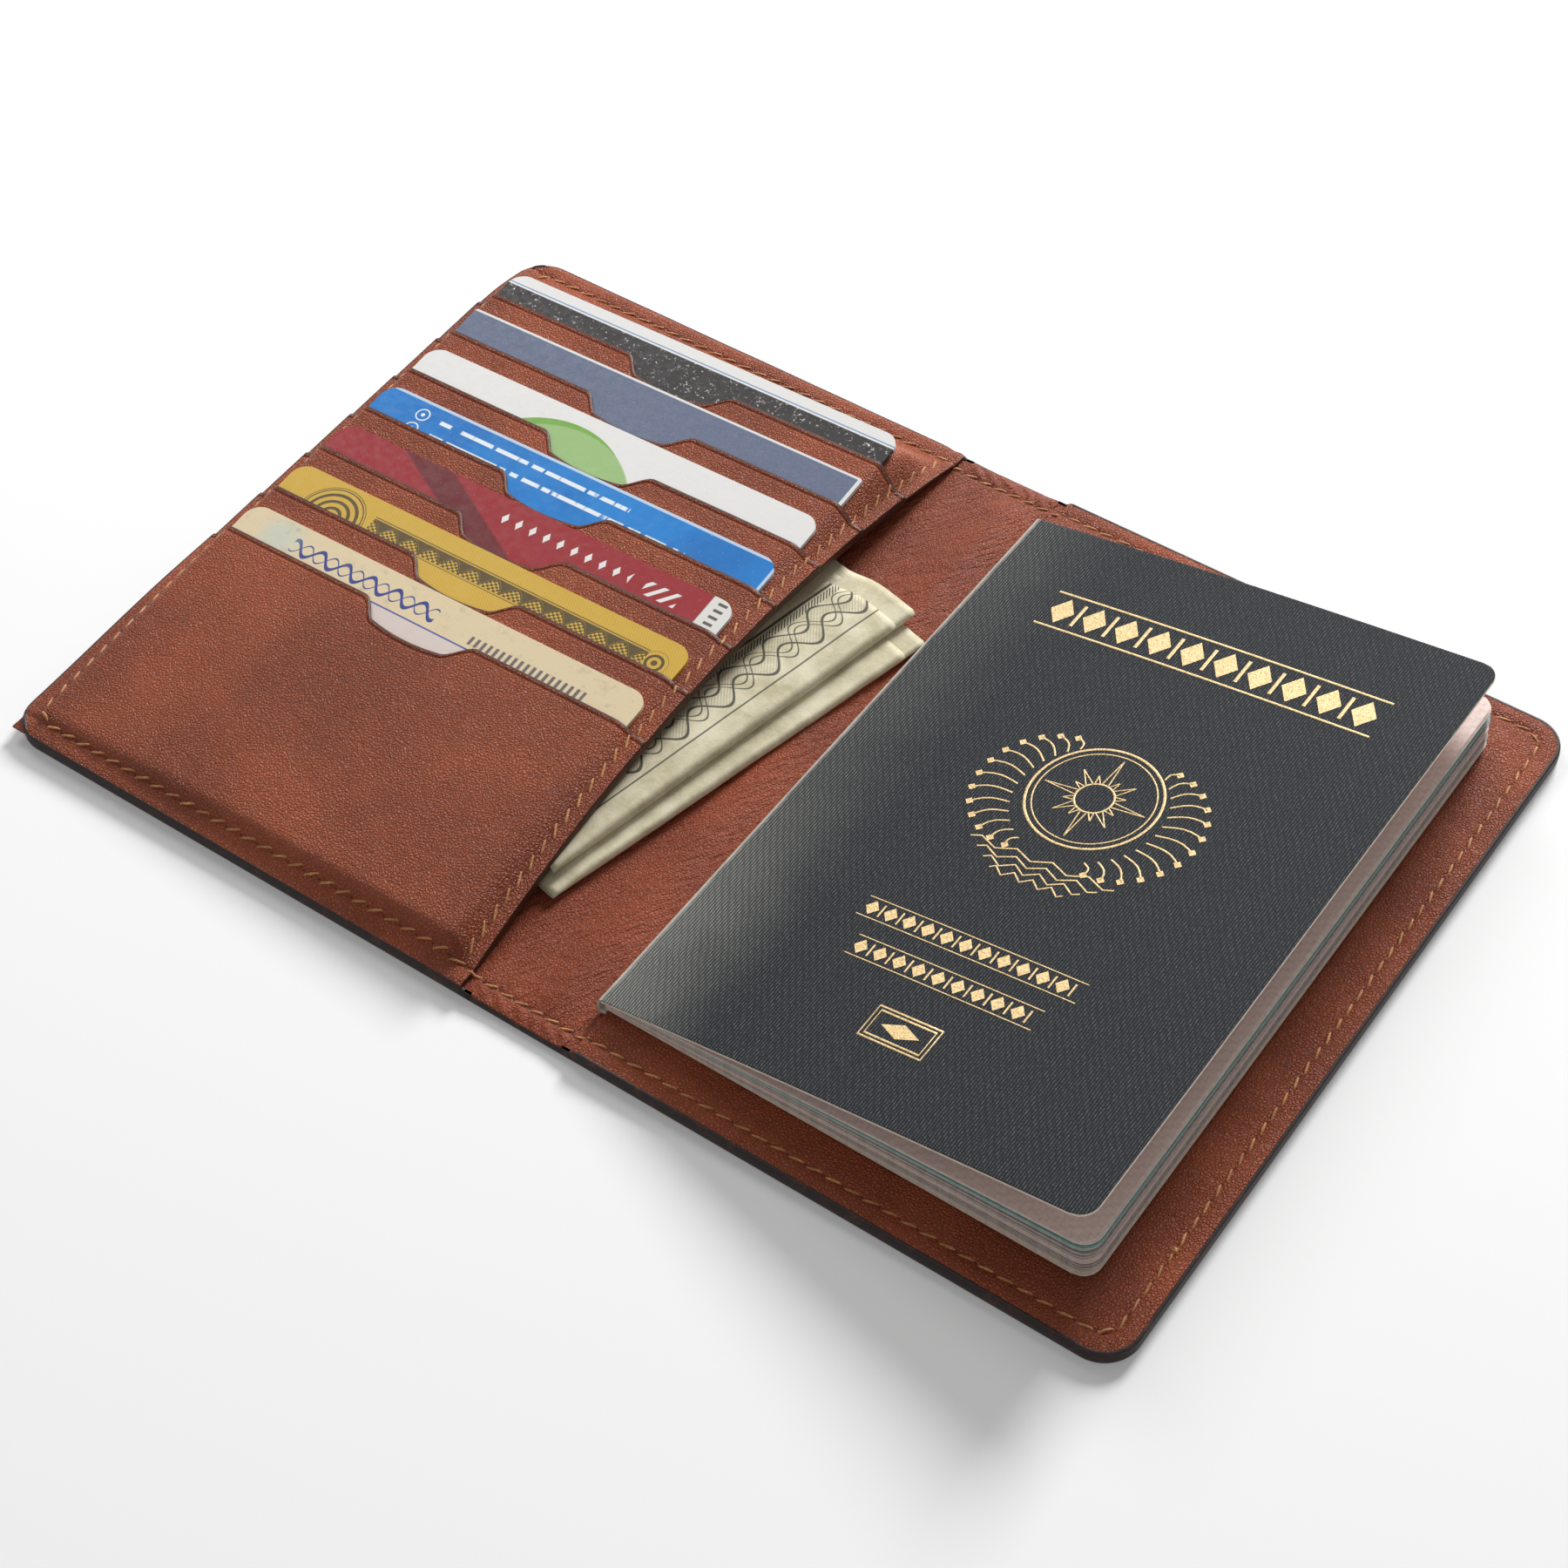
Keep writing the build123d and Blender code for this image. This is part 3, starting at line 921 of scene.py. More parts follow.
def passport_pocket_face(x, y):
    """The pocket lies low in its stitched border and on the booklet's back board inside it."""
    distance = edge_distance(x, y, 1)
    rise = smooth(2.6, 8.5, distance)
    level = 2.62 + (pocket_top - 2.62) * rise - 0.1 * (1 - smooth(0, 0.8, distance))
    level += 0.1 * bell(distance - 1.7, 0.8) + seam_groove(distance)
    outside = smooth(passport_high_x - 1, passport_high_x + 3, x)
    level -= 0.22 * outside * bell(distance - 6.5, 2.2)
    return min(level - 0.04 * (1 + wobble(x, y, 15, 4)) * rise, pocket_top)


def passport_pocket():
    top = panel_grid(pocket_mouth_x, 1, passport_pocket_face, extra=(11.2, 11.5, 11.9, 12.4))
    for row in top:
        for p in row:
            p.z += mouth_shape(p.x - pocket_mouth_x) * 0.7
    bottom = [[Vector((p.x, p.y, max(p.z - 0.75, panel_top + 0.02))) for p in row] for row in top]
    pocket = shell("passport_pocket_leather", top, bottom, leather_faces, 0.06)
    settle(pocket, "pocket_leather", "right_cover", "passport_pocket")


def spine_lining_level(x, y):
    """The limp lining between the panels: sunk beside the cards, rising towards the passport."""
    end = half_height - abs(y)
    ease = smooth(0.5, 9, end)
    level = 1.5 + 0.22 * smooth(-5, -8.8, x) + 0.22 * smooth(6.5, 8.8, x)
    roll = bell(x - 3.2 - 0.8 * wobble(0, y, 40, 1), 3.6)
    level += ease * roll * (0.75 + 0.35 * wobble(0, y, 28, 2))
    wrinkle = wobble(x * 0.83 - y * 0.56, (x * 0.56 + y * 0.83) * 0.3, 2.6, 3)
    level += 0.12 * ease * wrinkle * smooth(8.8, 6.0, abs(x))
    pucker = 0.16 * bell(end - 1.6, 1.2) * (1 + sin(2 * pi * y / 3.1 + 4 * wobble(x, y, 6, 5) + x * 1.9))
    level += pucker * smooth(9.5, 7.5, abs(x)) + 0.2 * bell(end - seam_inset, 0.4) * -1
    return level - 0.12 * (1 - smooth(0, 0.7, end))


def grid_normal(height, x, y, step=0.1):
    slope_x = (height(x + step, y) - height(x - step, y)) / (2 * step)
    slope_y = (height(x, y + step) - height(x, y - step)) / (2 * step)
    return Vector((-slope_x, -slope_y, 1)).normalized()


def spine_half(name, side, height, floor_height, x_far, columns, materials, rim):
    """One half of a spine sheet, from the spine's middle out to one side."""
    xs = [x_far * side * i / columns for i in range(columns + 1)]
    xs = xs if side > 0 else list(reversed(xs))
    ys = spread(-half_height, half_height, border_steps)
    fine = sorted(set(ys) | {-half_height + 0.9 * i for i in range(int(2 * half_height / 0.9))})
    top = [[Vector((x, y, height(x, y))) for x in xs] for y in fine]
    bottom = [[Vector((x, y, floor_height(x, y))) for x in xs] for y in fine]
    piece = shell(name, top, bottom, materials, rim)
    count = len(fine) * len(xs)
    mesh = piece.data
    normals = [v.normal.copy() for v in mesh.vertices]
    for index in range(count):
        p = top[index // len(xs)][index % len(xs)]
        if abs(p.x) < 0.01:
            normals[index] = grid_normal(height, p.x, clamp(p.y, -half_height + 0.2, half_height - 0.2))
    mesh.normals_split_custom_set_from_vertices(normals)
    return piece


spine_tuck = 15.0
spine_right_reach = 9.1


def fold(piece):
    """Bakes a piece's transform into its mesh; it is not bent round the fold line."""
    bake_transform(piece)


def spine():
    for side, name in ((-1, "left"), (1, "right")):
        far = spine_tuck if side < 0 else spine_right_reach
        lining = spine_half(
            f"spine_lining_{name}", side, spine_lining_level,
            lambda x, y: 1.05 if abs(x) < hinge_x else panel_top - 0.1,
            far, 50 if side < 0 else 34, [lining_leather, lining_leather, edge_paint], 0.0,
        )
        if side < 0:
            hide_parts("lining_spine")
        fold(lining)
        leather = spine_half(
            f"spine_leather_{name}", side, cover_face,
            lambda x, y: underside(0, y, 1), hinge_x, 32,
            [cover_leather, cover_leather, edge_paint], 0.0,
        )
        if side < 0:
            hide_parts("outer_cover_spine")
        fold(leather)


# ---- painted edges ----

def outline(side, inner_x, pitch=1.4):
    """Points round a panel's outer border, each with its outward direction."""
    route = []
    straight_y = half_height - corner_radius
    straight_x = half_width - corner_radius
    for i in range(int((straight_x - inner_x) / pitch) + 1):
        x = inner_x + (straight_x - inner_x) * i / int((straight_x - inner_x) / pitch)
        route.append((Vector((x, -half_height, 0)), Vector((0, -1, 0))))
    for i in range(1, 12):
        a = -pi / 2 + pi / 2 * i / 12
        out = Vector((cos(a), sin(a), 0))
        route.append((Vector((straight_x, -straight_y, 0)) + out * corner_radius, out))
    steps = int(2 * straight_y / (pitch / 2))
    for i in range(steps + 1):
        y = -straight_y + 2 * straight_y * i / steps
        route.append((Vector((half_width, y, 0)), Vector((1, 0, 0))))
    mirrored = [(Vector((p.x, -p.y, 0)), Vector((n.x, -n.y, 0))) for p, n in reversed(route[:-steps - 1])]
    route += mirrored
    return [(Vector((p.x * side, p.y, 0)), Vector((n.x * side, n.y, 0))) for p, n in route]


def paint_bead(name, route, level, proud=0.3):
    """The rounded coat of edge paint over all the layers of a border."""
    rings = []
    for point, out in route:
        high = level(point.x, point.y)
        low = 0.06
        ring = []
        for i in range(9):
            a = -pi / 2 + pi * i / 8
            reach = proud * cos(a) ** 0.5 if abs(cos(a)) > 1e-6 else 0
            spot = point + out * reach
            ring.append(Vector((spot.x, spot.y, (low + high) / 2 + (high - low) / 2 * sin(a))))
        inside = point - out * 0.5
        ring.append(Vector((inside.x, inside.y, high)))
        ring.append(Vector((inside.x, inside.y, low)))
        rings.append(ring)
    points, faces = [], []
    tube(rings, points, faces)
    bead = make_mesh(name, points, faces, [edge_paint])
    return bead


def left_border_level(x, y):
    across = unpulled(max(x + half_width, 0) / cos(panel_tilt), y)
    if across >= panel_width:
        return panel_top
    return panel_top + card_panel_level(across, y) + 0.02


def edges():
    bead = paint_bead("edge_paint_left", outline(-1, hinge_x), left_border_level)
    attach(bead, "left_cover")

    def right_level(x, y):
        return passport_pocket_face(x, y) + 0.04 if x > pocket_mouth_x else panel_top

    bead = paint_bead("edge_paint_right", outline(1, hinge_x), right_level)
    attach(bead, "right_cover")
    for side, name in ((-1, "left"), (1, "right")):
        for end, where in ((-1, "bottom"), (1, "top")):
            xs = [side * hinge_x * i / 32 for i in range(33)]
            route = [(Vector((x, end * half_height, 0)), Vector((0, end, 0))) for x in xs]
            bead = paint_bead(f"edge_paint_spine_{name}_{where}", route, spine_lining_level)
            fold(bead)


# ---- stitching ----

thread_radius = 0.27
knot_place = Vector((half_width - seam_inset, -50.0, 0))


def stitch(points, faces, holes, start, end, level, slant, lift, down):
    """One slanted stitch that dips into a hole at each end."""
    middle = (start + end) / 2
    along = (end - start).normalized()
    across = UP.cross(along)
    turned = (along * cos(slant) + across * sin(slant)).normalized()
    length = (end - start).length * 0.86
    rings = []
    count = 6
    for i in range(count + 1):
        t = i / count
        spot = middle + turned * (t - 0.5) * length
        arch = sin(pi * t) ** 0.6 if 0 < t < 1 else 0.0
        radius = thread_radius * (0.62 + 0.38 * sin(pi * t))
        z = level(spot.x, spot.y) + down * (lift * arch - 0.2 * (1 - arch))
        side_way = UP.cross(turned)
        ring = []
        for s in range(6):
            a = 2 * pi * s / 6
            around = side_way * radius * cos(a) + UP * radius * 0.85 * sin(a)
            ring.append(Vector((spot.x, spot.y, z)) + around)
        rings.append(ring)
    tube(rings, points, faces)
    # The dark cap over the stitch hole is painted shade, the shade inside the hole.
    hole = start - along * 0.1
    z = level(hole.x, hole.y)
    rings = []
    for height, radius in ((-0.25, 0.12), (0.01, 0.33), (0.03, 0.2)):
        ring = []
        for s in range(6):
            a = 2 * pi * s / 6
            flat = along * radius * 0.9 * cos(a) + UP.cross(along) * radius * 0.75 * sin(a)
            ring.append(Vector((hole.x, hole.y, z + down * height)) + flat)
        rings.append(ring)
    tube(rings, *holes)


def seam(name, route, level, body=None, under=None, slant=0.33, replaced=()):
    """A row of stitches along a route, on the face and in the channel underneath."""
    lengths = [(b - a).length for a, b in zip(route, route[1:])]
    total = sum(lengths)
    count = round(total / stitch_pitch)

    def at(distance):
        for i, length in enumerate(lengths):
            if distance <= length or i == len(lengths) - 1:
                return route[i].lerp(route[i + 1], clamp(distance / length))
            distance -= length

    points, faces, hole_points, hole_faces = [], [], [], []
    for i in range(count):
        a = at(total * i / count)
        b = at(total * (i + 1) / count)
        tilt = slant + random.uniform(-0.07, 0.07)
        stitch(points, faces, (hole_points, hole_faces), a, b, level, tilt, random.uniform(0.08, 0.14), 1)
        if under:
            stitch(points, faces, (hole_points, hole_faces), a, b, under, -tilt, -0.02, -1)
    threads = len(faces)
    shift = len(points)
    faces += [tuple(i + shift for i in face) for face in hole_faces]
    indices = [0] * threads + [1] * len(hole_faces)
    row = make_mesh(name, points + hole_points, faces, [panel_thread, hole_painted_shade], indices)
    if replaced:
        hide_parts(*replaced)
    if body:
        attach(row, body)
    else:
        fold(row)
    return row


def seam_route(side, inner_x):
    """The stitching line round a panel, inset from its border."""
    return [p - n * seam_inset for p, n in outline(side, inner_x)]


def channel(x, y):
    """Level of the threads in the underside's sunk channel."""
    return thread_radius * 0.85 + 0.03


def stitching():
    def left_level(x, y):
        across = unpulled((x + half_width) / cos(panel_tilt), y)
        if across > panel_width:
            return panel_top - 0.05
        return panel_top + card_panel_level(across, y)

    def right_level(x, y):
        return passport_pocket_face(x, y) if x > pocket_mouth_x else panel_top - 0.05

    seam("seam_left", seam_route(-1, hinge_x), left_level, "left_cover", under=channel,
         replaced=["stitches_left"])
    seam("seam_right", seam_route(1, hinge_x), right_level, "right_cover", under=channel, slant=0.2,
         replaced=["stitches_right"])
    points, faces, holes = [], [], ([], [])
    for turn in (0.9, -0.7, 0.2):
        low, high = knot_place - Vector((0, 0.8, 0)), knot_place + Vector((0, 0.8, 0))
        stitch(points, faces, holes, low, high, right_level, turn, 0.4, 1)
    knot = make_mesh("seam_right_knot", points, faces, [panel_thread])
    settle(knot, "thread", "right_cover")
    ends = half_height - seam_inset - 1.2
    route = []
    for i in range(61):
        y = -ends + 2 * ends * i / 60
        route.append(Vector((on_panel(panel_width - free_edge_inset, y, 0).x, y, 0)))
    seam("seam_free_edge", route, left_level, "left_cover", slant=0.4, replaced=["stitches_card_edge"])
    for side, name in ((-1, "left"), (1, "right")):
        for end, where in ((-1, "bottom"), (1, "top")):
            y = end * (half_height - seam_inset)
            route = [Vector((0, y, 0)), Vector((side * hinge_x, y, 0))]
            replaced = ["stitches_spine"] if (side, end) == (-1, -1) else ()
            seam(f"seam_spine_{name}_{where}", route, spine_lining_level, under=channel,
                 replaced=replaced)


def lining_and_board():
    for side in ("left", "right"):
        cover_node(f"lining_{side}", lining_leather)
        cover_node(f"stiffener_{side}", board)


# ---- the passport ----

cover_angle = radians(9.3)
cover_thickness = 0.45
cover_offset = 1.83
cover_reach = 87.3
cover_corner = 3.2
cover_bow = 0.7
leaf_thickness = 0.1
block_count, leaves_in_block = 6, 3
first_block_angle, block_angle_step = 0.3, 0.9
leaf_angle_step, top_leaf_angle_step = 0.24, 0.1
block_rise, leaf_rise = 0.23, 0.07
back_board_gap = 0.05


def leaf_point(distance, y, angle, offset, arch):
    """A point of a leaf or cover that is turned up about the page hinge and bows a little."""
    t = clamp(distance / cover_reach)
    rise = offset + arch * sin(pi * t) * (1 - 0.3 * t)
    along = Vector((cos(angle), 0, sin(angle)))
    normal = Vector((-sin(angle), 0, cos(angle)))
    return Vector((page_hinge.x, y, page_hinge.z)) + along * distance + normal * rise


leaf_steps = [0, 0.3, 0.7, 1.1, 1.6, 2.2, 2.8, 3.4, 5, 8, 12]


def leaf_grid(root, reach, half, radius, place):
    grid = []
    ys = spread(-half, half, leaf_steps)
    xs = spread(root, reach, leaf_steps)
    for y in ys:
        far = reach - corner_inset(half - abs(y), radius)
        row = [root + (x - root) * (far - root) / (reach - root) for x in xs]
        grid.append([place(x, y) for x in row])
    return grid


def cover_place(x, y, sink=0.0):
    lift = 0.25 * smooth(40, 88, x) * smooth(30, 62, -y)
    return leaf_point(x, y, cover_angle, cover_offset - sink + lift, cover_bow)


def front_cover():
    half = passport_height / 2
    top = leaf_grid(0.5, cover_reach, half, cover_corner, cover_place)
    bottom = leaf_grid(0.5, cover_reach, half, cover_corner, lambda x, y: cover_place(x, y, cover_thickness))
    cover = shell("passport_cover", top, bottom, [book_cloth, rose_paper, cream_paper], 0.05)
    settle(cover, "passport_cloth", "passport_front_cover", "passport_front_cover")


def back_cover():
    half = passport_height / 2
    low = panel_top + back_board_gap

    def place(x, y):
        return Vector((passport_x + x, y, low + cover_thickness))

    width = passport_high_x - passport_x
    top = leaf_grid(0.6, width, half, cover_corner, place)
    bottom = [[p - Vector((0, 0, cover_thickness)) for p in row] for row in top]
    cover = shell("passport_back_board", top, bottom, [rose_paper, book_cloth, book_cloth], 0.04)
    settle(cover, "passport_cloth", "passport", "passport_back_cover")


def booklet_spine():
    """The strip of cloth round the booklet's back, from the back board to the front cover."""
    high = leaf_point(0.6, 0, cover_angle, cover_offset, cover_bow)
    low = panel_top + back_board_gap
    route = [
        Vector((high.x + 0.2, 0, high.z + 0.03)), Vector((high.x - 0.35, 0, high.z - 0.05)),
        Vector((passport_x + 0.12, 0, high.z - 0.75)), Vector((passport_x, 0, (high.z + low) / 2)),
        Vector((passport_x + 0.1, 0, low + 0.6)), Vector((passport_x + 0.45, 0, low + 0.12)),
        Vector((passport_x + 1.1, 0, low)),
    ]
    curve = []
    for i in range(len(route) - 1):
        before = route[max(i - 1, 0)]
        after = route[min(i + 2, len(route) - 1)]
        for s in range(4):
            t = s / 4
            a, b = route[i], route[i + 1]
            curve.append(0.5 * ((2 * a) + (b - before) * t + (2 * before - 5 * a + 4 * b - after) * t * t
                                + (3 * a - before - 3 * b + after) * t ** 3))
    curve.append(route[-1])
    half = passport_height / 2
    ys = spread(-half, half, leaf_steps)
    top, bottom = [], []
    for y in ys:
        outer, inner = [], []
        for i, p in enumerate(curve):
            tangent = (curve[min(i + 1, len(curve) - 1)] - curve[max(i - 1, 0)]).normalized()
            inward = Vector((-tangent.z, 0, tangent.x))
            outer.append(Vector((p.x, y, p.z)))
            inner.append(Vector((p.x, y, p.z)) + inward * 0.3)
        top.append(list(reversed(outer)))
        bottom.append(list(reversed(inner)))
    strip = shell("passport_spine_cloth", top, bottom, [book_cloth, cream_paper, book_cloth], 0.0)
    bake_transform(strip)


def page_leaves():
    """Each block of pages is three leaves that lie close, fanned a little, with a slight bow."""
    # Blocks 2 and 4 take the darkened rose paper, painted shade between the fanned leaves.
    papers = [cream_paper, shaded_rose_paper, rose_paper, shaded_rose_paper, teal_paper, rose_paper]
    for block in range(block_count):
        angle = radians(first_block_angle + block_angle_step * block)
        step = top_leaf_angle_step if block >= block_count - 2 else leaf_angle_step
        for leaf in range(leaves_in_block):
            index = block * leaves_in_block + leaf
            turn = angle + radians(step * leaf)
            offset = block_rise * block + leaf_rise * leaf + leaf_thickness
            rise = 0.3 + 0.03 * index if index else 0.05
            reach = cover_reach - 0.25 - random.uniform(0, 0.3)
            half = passport_height / 2 - 0.3 - random.uniform(0, 0.15)

            def place(x, y, turn=turn, offset=offset, rise=rise):
                return leaf_point(x, y, turn, offset, rise)

            top = leaf_grid(0.7, reach, half, cover_corner, place)
            bottom = [[p - Vector((0, 0, leaf_thickness)) for p in row] for row in top]
            faces = [papers[block], papers[block], cream_paper]
            page = shell(f"page_{index + 1}", top, bottom, faces, 0.0)
            body = f"passport_pages_{block + 1}"
            settle(page, "page_paper", body, *([body] if leaf == 0 else []))


# ---- gold foil ornament on the cover, plain figures with no lettering ----

foil_proud = 0.05
foil_foot = 0.02


def foil_ribbon(points, faces, route, width, closed=False):
    """A flat foil line on the cover. The route is in cover coordinates."""
    count = len(route)
    first = len(points)
    for i, (x, y) in enumerate(route):
        before = route[i - 1] if closed or i else route[i]
        after = route[(i + 1) % count] if closed or i < count - 1 else route[i]
        dx, dy = after[0] - before[0], after[1] - before[1]
        size = hypot(dx, dy) or 1
        nx, ny = -dy / size * width / 2, dx / size * width / 2
        for share, z in ((1, foil_foot), (0.8, foil_proud), (-0.8, foil_proud), (-1, foil_foot)):
            points.append(cover_place(x + nx * share, y + ny * share, -z))
    for i in range(count if closed else count - 1):
        j = (i + 1) % count
        for s in range(3):
            a, b = first + i * 4 + s, first + j * 4 + s
            faces.append((a, a + 1, b + 1, b))


def circle_route(x, y, radius, count=48):
    turns = [2 * pi * i / count for i in range(count)]
    return [(x + radius * cos(a), y + radius * sin(a)) for a in turns]


def foil_patch(points, faces, outline_points):
    first = len(points)
    x = sum(p[0] for p in outline_points) / len(outline_points)
    y = sum(p[1] for p in outline_points) / len(outline_points)
    points.append(cover_place(x, y, -foil_proud))
    for px, py in outline_points:
        points.append(cover_place(px, py, -foil_proud))
    count = len(outline_points)
    for i in range(count):
        faces.append((first, first + 1 + i, first + 1 + (i + 1) % count))


def lozenge(points, faces, x, y, wide, tall):
    foil_patch(points, faces, [(x - wide, y), (x, y - tall), (x + wide, y), (x, y + tall)])


def frieze(points, faces, x, y, half_length, tall, pitch):
    """A row of lozenges between short upright bars, with a rule above and below."""
    count = int(2 * half_length / pitch)
    for i in range(count + 1):
        place = x - half_length + 2 * half_length * i / count
        if i % 2 == 0:
            lozenge(points, faces, place, y, pitch * 0.72, tall * 0.42)
        else:
            foil_ribbon(points, faces, [(place, y - tall * 0.36), (place, y + tall * 0.36)], pitch * 0.2)
    reach = half_length + pitch
    for side in (-1, 1):
        rule = y + side * tall * 0.56
        foil_ribbon(points, faces, [(x - reach + reach * i / 15, rule) for i in range(31)], tall * 0.06)


ornament_x = 45.0
rose_y = 8.0
rose_rings = [(11.0, 0.45), (9.9, 0.25), (3.2, 0.35)]
ray_count = 16
ray_root, long_ray, middle_ray, short_ray = 3.4, 9.2, 6.8, 5.0
plume_count, plume_start, plume_step = 13, -62, 9.5
plume_inner, plume_outer, plume_drop = 12.6, 19.5, 1.5
wave_count, wave_half, wave_taper, wave_drop, wave_gap = 4, 13, 2.1, 15.5, 1.5
mark_y = -46.5
mark_frames = [(5.6, 3.1), (4.9, 2.4)]


def compass_rose(points, faces):
    for radius, width in rose_rings:
        foil_ribbon(points, faces, circle_route(ornament_x, rose_y, radius), width, True)
    for i in range(ray_count):
        a = 2 * pi * i / ray_count + pi / 2
        long = long_ray if i % 4 == 0 else middle_ray if i % 2 == 0 else short_ray
        wide = 0.16 if i % 2 == 0 else 0.12
        tip = (ornament_x + long * cos(a), rose_y + long * sin(a))
        for turn in (-wide, wide):
            root = (ornament_x + ray_root * cos(a + turn), rose_y + ray_root * sin(a + turn))
            foil_ribbon(points, faces, [root, tip], 0.22)


def plumes(points, faces):
    """Bent rays on both sides of the rose, each with a lozenge at its tip."""
    for side in (-1, 1):
        for i in range(plume_count):
            a = radians(plume_start + plume_step * i)
            inner, outer = plume_inner, plume_outer - 0.12 * (i - 6) ** 2
            route = []
            for s in range(7):
                r = inner + (outer - inner) * s / 6
                bend = a + 0.05 * sin(pi * s / 6)
                route.append((ornament_x + side * r * cos(bend), rose_y - plume_drop + r * sin(bend)))
            foil_ribbon(points, faces, route, 0.32)
            lozenge(points, faces, *route[-1], 0.75, 0.75)


def waves(points, faces):
    for i in range(wave_count):
        left = ornament_x - wave_half + wave_taper * i
        run = 2 * wave_half - 2 * wave_taper * i
        level = rose_y - wave_drop - wave_gap * i
        route = [(left + s * run / 16, level + 0.7 * sin(s * pi / 2)) for s in range(17)]
        foil_ribbon(points, faces, route, 0.3)


def small_mark(points, faces):
    """A lozenge in a double frame."""
    for wide, tall in mark_frames:
        corners = [(-wide, -tall), (wide, -tall), (wide, tall), (-wide, tall)]
        foil_ribbon(points, faces, [(ornament_x + x, mark_y + y) for x, y in corners], 0.4, True)
    lozenge(points, faces, ornament_x, mark_y, 3.4, 1.5)


def foil_ornament():
    points, faces = [], []
    frieze(points, faces, ornament_x, 43.5, 28.0, 7.4, 3.1)
    frieze(points, faces, ornament_x, -27.5, 18.0, 3.6, 1.7)
    frieze(points, faces, ornament_x, -35.0, 15.0, 3.6, 1.7)
    for part in (compass_rose, plumes, waves, small_mark):
        part(points, faces)
    foil = make_mesh("cover_foil", points, faces, [gold_foil])
    settle(foil, "passport_cloth", "passport_front_cover")


# ---- banknotes, folded lengthwise, their round fold towards the passport ----

def note_sheet(name, foot, lean, inner, ends, base, height, printed, replaced=None):
    """One folded note. It goes over the top, round the fold and back underneath."""
    right = Vector((cos(lean), -sin(lean), 0))
    along = Vector((sin(lean), cos(lean), 0))
    radius = height / 2 - inner
    reach = note_width - 9 * inner
    top, bottom = [], []
    flat_steps = 16
    turn_steps = 10
    rows = 60
    for r in range(rows + 1):
        v = ends[0] + (ends[1] - ends[0]) * r / rows
        sway = 0.35 * wobble(v, base * 9, 16, 1) + 0.12 * wobble(v, base * 5, 5, 2)
        pinch = 1 - 0.35 * smooth(12, 0, v) - 0.12 * smooth(note_length - 9, note_length, v)
        outer_row, inner_row = [], []
        for i in range(flat_steps + turn_steps + flat_steps + 1):
            if i <= flat_steps:
                share = i / flat_steps
                s = -reach + (reach - radius) * share
                z = radius
                n = Vector((0, 0, 1))
            elif i < flat_steps + turn_steps:
                a = pi / 2 - pi * (i - flat_steps) / turn_steps
                s = -radius + radius * cos(a)
                z = radius * sin(a)
                n = right * cos(a) + UP * sin(a)
            else:
                share = (i - flat_steps - turn_steps) / flat_steps
                s = -radius - (reach - radius) * share
                z = -radius
                n = Vector((0, 0, -1))
            close = 1 - 0.6 * smooth(4, 20, -s)
            curl = 0.5 * bell(s + 7, 4) * smooth(0, 20, v) if z > 0 else 0
            level = base + height / 2 + z * close * pinch + curl * (height / 3)
            level -= max(level - 3.4, 0) * 0.8 * smooth(9, 17, -s)
            level += 0.12 * wobble(s, v, 7, base * 3) if z > 0 else 0.02
            spot = foot + right * (s + sway * 0.5) + along * v
            outer_row.append(Vector((spot.x, spot.y, max(level, 1.76))))
            inner_row.append(Vector((spot.x, spot.y, max(level, 1.9))) - n * note_thickness)
        top.append(outer_row)
        bottom.append(inner_row)
    faces = [note_printed if printed else note_plain, note_plain, note_plain]
    note = shell(name, top, bottom, faces, 0.0)
    if replaced:
        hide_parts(replaced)
    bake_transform(note)


def banknotes():
    for bundle, (foot, lean) in enumerate(zip(note_foot, note_lean)):
        for layer in range(len(note_ends)):
            note_sheet(
                f"banknote_{bundle + 1}_{layer + 1}", foot, lean, note_layer_gap * layer, note_ends[layer],
                note_base[bundle], note_height[bundle], bundle == 1 and layer == 0,
                f"banknote_bundle_{bundle + 1}" if layer == 0 else None,
            )


# ---- surroundings ----

floor_reach = 2500.0
floor_color = (0.86, 0.86, 0.86)
shadow_reach, white_from = 0.3, 1.0
near_glow = 0.1
ambient = 0.23
camera_place = (202.56, -274.2, 387.23)
camera_aim = (5.6, -8.0, 0)
camera_roll = radians(1.77)
camera_lens = 71.97


def area_lamp(name, place, size, power, aim=(0, 0, 0)):
    lamp = bpy.data.lights.new(name, "AREA")
    lamp.shape = "DISK"
    lamp.size = size
    lamp.energy = power
    holder = bpy.data.objects.new(name, lamp)
    holder.location = place
    holder.rotation_euler = (Vector(aim) - Vector(place)).to_track_quat("-Z", "Y").to_euler()
    bpy.context.scene.collection.objects.link(holder)


def seen_directly(tree):
    """Share of a ray that shows the background: seen by the camera, or in a reflection or through glass."""
    path = tree.nodes.new("ShaderNodeLightPath")
    total = path.outputs["Is Camera Ray"]
    for ray in ("Is Glossy Ray", "Is Transmission Ray"):
        either = tree.nodes.new("ShaderNodeMath")
        either.operation = "MAXIMUM"
        tree.links.new(total, either.inputs[0])
        tree.links.new(path.outputs[ray], either.inputs[1])
        total = either.outputs[0]
    return total


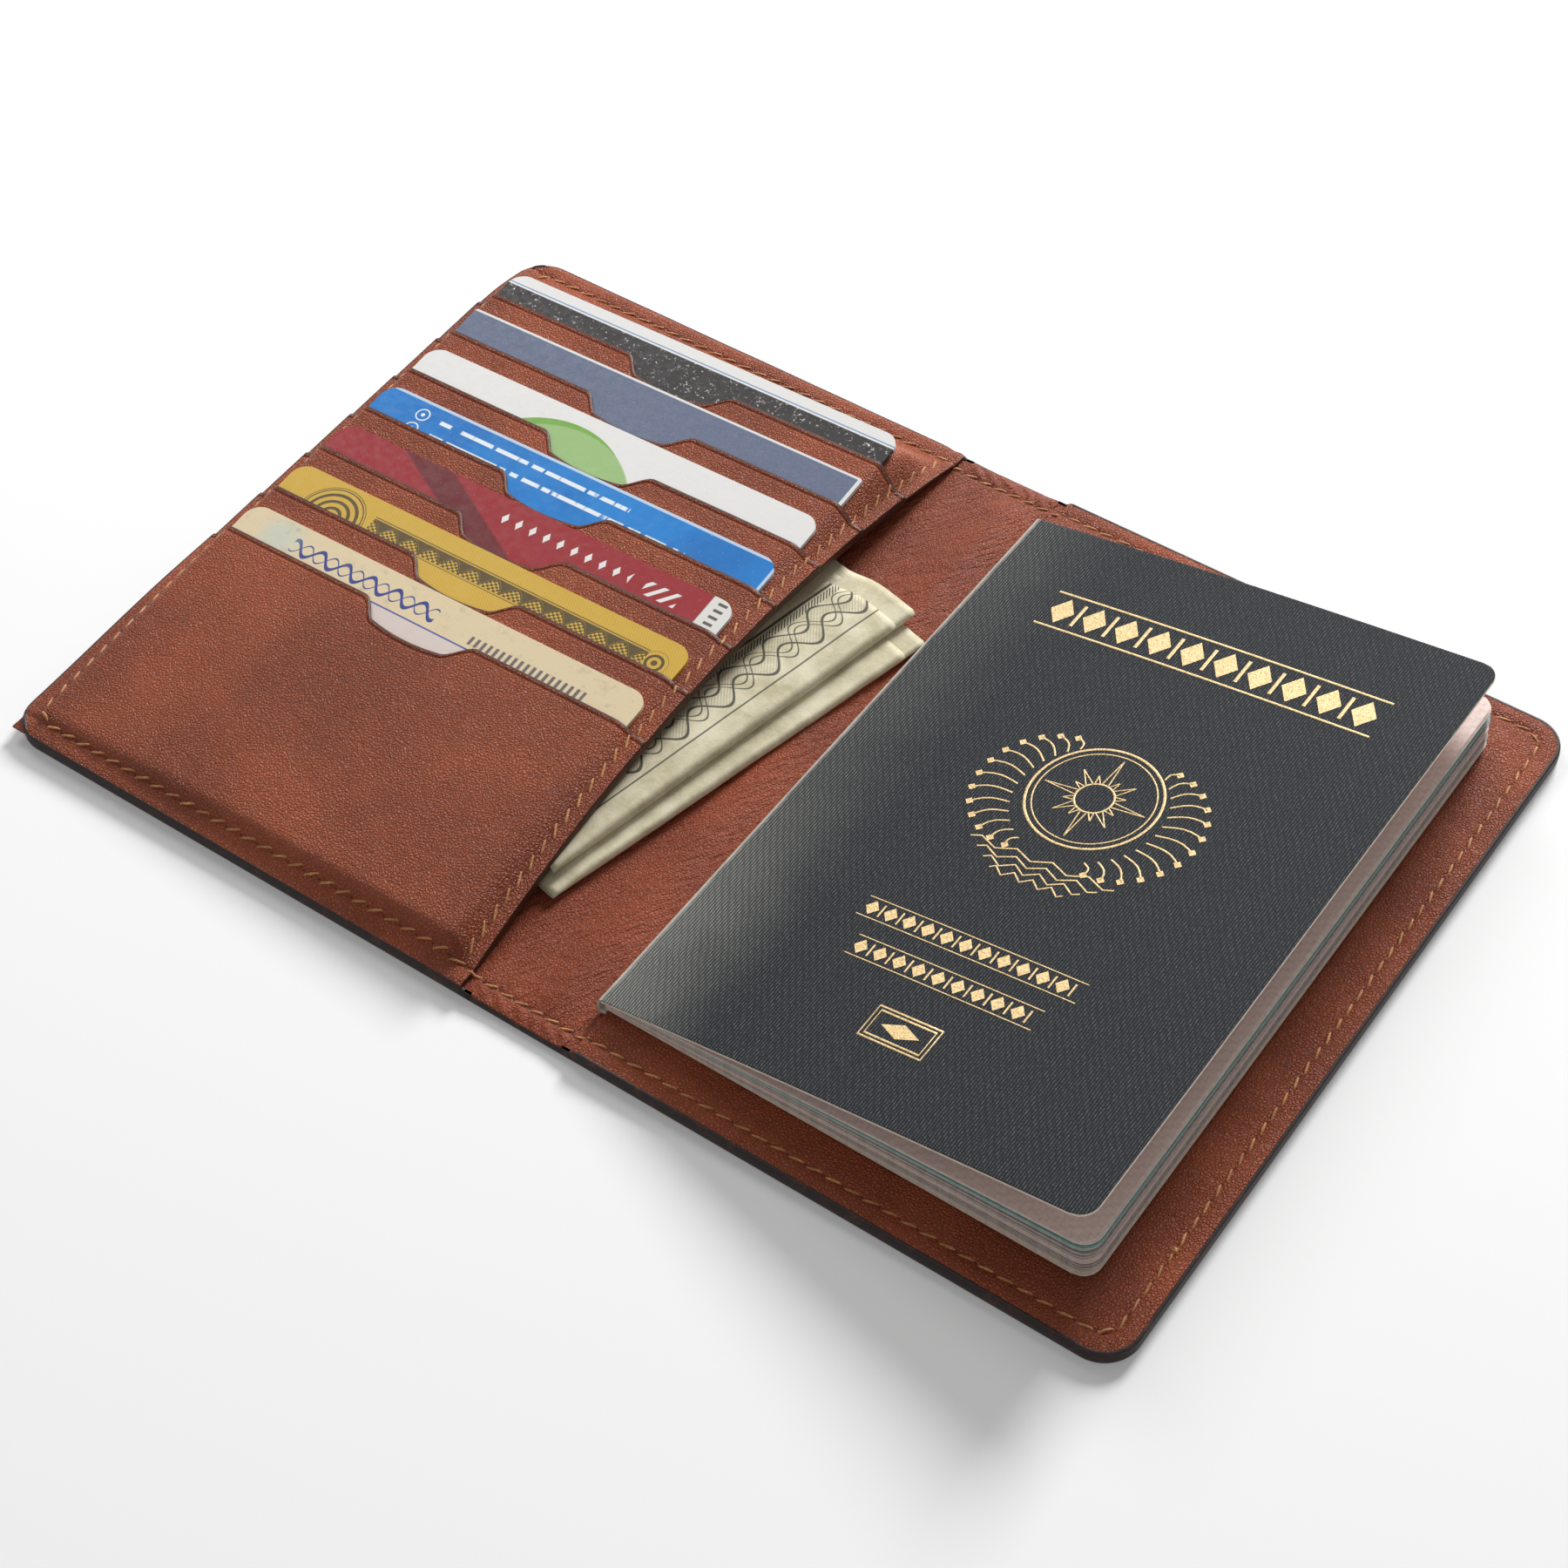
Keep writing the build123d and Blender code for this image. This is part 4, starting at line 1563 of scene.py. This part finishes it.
def surroundings():
    """A pale floor that keeps the shadow near the object and is plain white further out."""
    corners = [(x * floor_reach, y * floor_reach, 0) for x, y in ((-1, -1), (1, -1), (1, 1), (-1, 1))]
    ground = make_mesh("floor", corners, [(0, 1, 2, 3)], [])
    g = Graph("floor_white", floor_color, 0.6)
    g.put(g.shader, "Specular IOR Level", 0.1)
    distance = g.node("VectorMath", {"operation": "LENGTH"})
    g.put(distance, 0, g.place)
    far = g.ramp(distance.outputs["Value"], shadow_reach, white_from)
    glow = g.plus(g.times(far, 1 - near_glow), near_glow)
    g.put(g.shader, "Emission Color", (1, 1, 1, 1))
    g.put(g.shader, "Emission Strength", g.times(seen_directly(g.tree), glow))
    g.paint(g.mix(far, floor_color, (0.0, 0.0, 0.0)))
    ground.data.materials.append(g.material)
    world = bpy.data.worlds.new("studio")
    bpy.context.scene.world = world
    world.use_nodes = True
    tree = world.node_tree
    background = tree.nodes["Background"]
    strength = tree.nodes.new("ShaderNodeMapRange")
    strength.inputs["To Min"].default_value = ambient
    strength.inputs["To Max"].default_value = 1.0
    tree.links.new(seen_directly(tree), strength.inputs["Value"])
    tree.links.new(strength.outputs[0], background.inputs["Strength"])
    background.inputs["Color"].default_value = (1, 1, 1, 1)
    area_lamp("key_back", (-0.15, 1.3, 0.72), 0.5, 29)
    area_lamp("key_left", (-0.9, 0.6, 0.9), 0.6, 4.5)
    area_lamp("fill", (0.4, -0.9, 0.9), 0.8, 1.2)


def camera():
    """The viewpoint: to the right of the holder and in front, looking down."""
    place = Vector(camera_place) * MM
    forward = (Vector(camera_aim) * MM - place).normalized()
    right = forward.cross(UP).normalized()
    right = Matrix.Rotation(camera_roll, 3, forward) @ right
    upward = right.cross(forward)
    data = bpy.data.cameras.new("camera")
    data.sensor_width = 36
    data.lens = camera_lens
    data.clip_start = 0.01
    data.clip_end = 20
    holder = bpy.data.objects.new("camera", data)
    turn = Matrix((right, upward, -forward)).transposed()
    holder.matrix_world = Matrix.Translation(place) @ turn.to_4x4()
    bpy.context.scene.collection.objects.link(holder)
    bpy.context.scene.camera = holder
    bpy.context.scene.view_settings.view_transform = "Standard"


camera()
surroundings()
lining_and_board()
outer_covers()
spine()
bill_pocket_roof()
card_backing()
card_pockets()
cards()
passport_pocket()
edges()
stitching()
back_cover()
booklet_spine()
page_leaves()
front_cover()
foil_ornament()
banknotes()

bpy.context.view_layer.update()
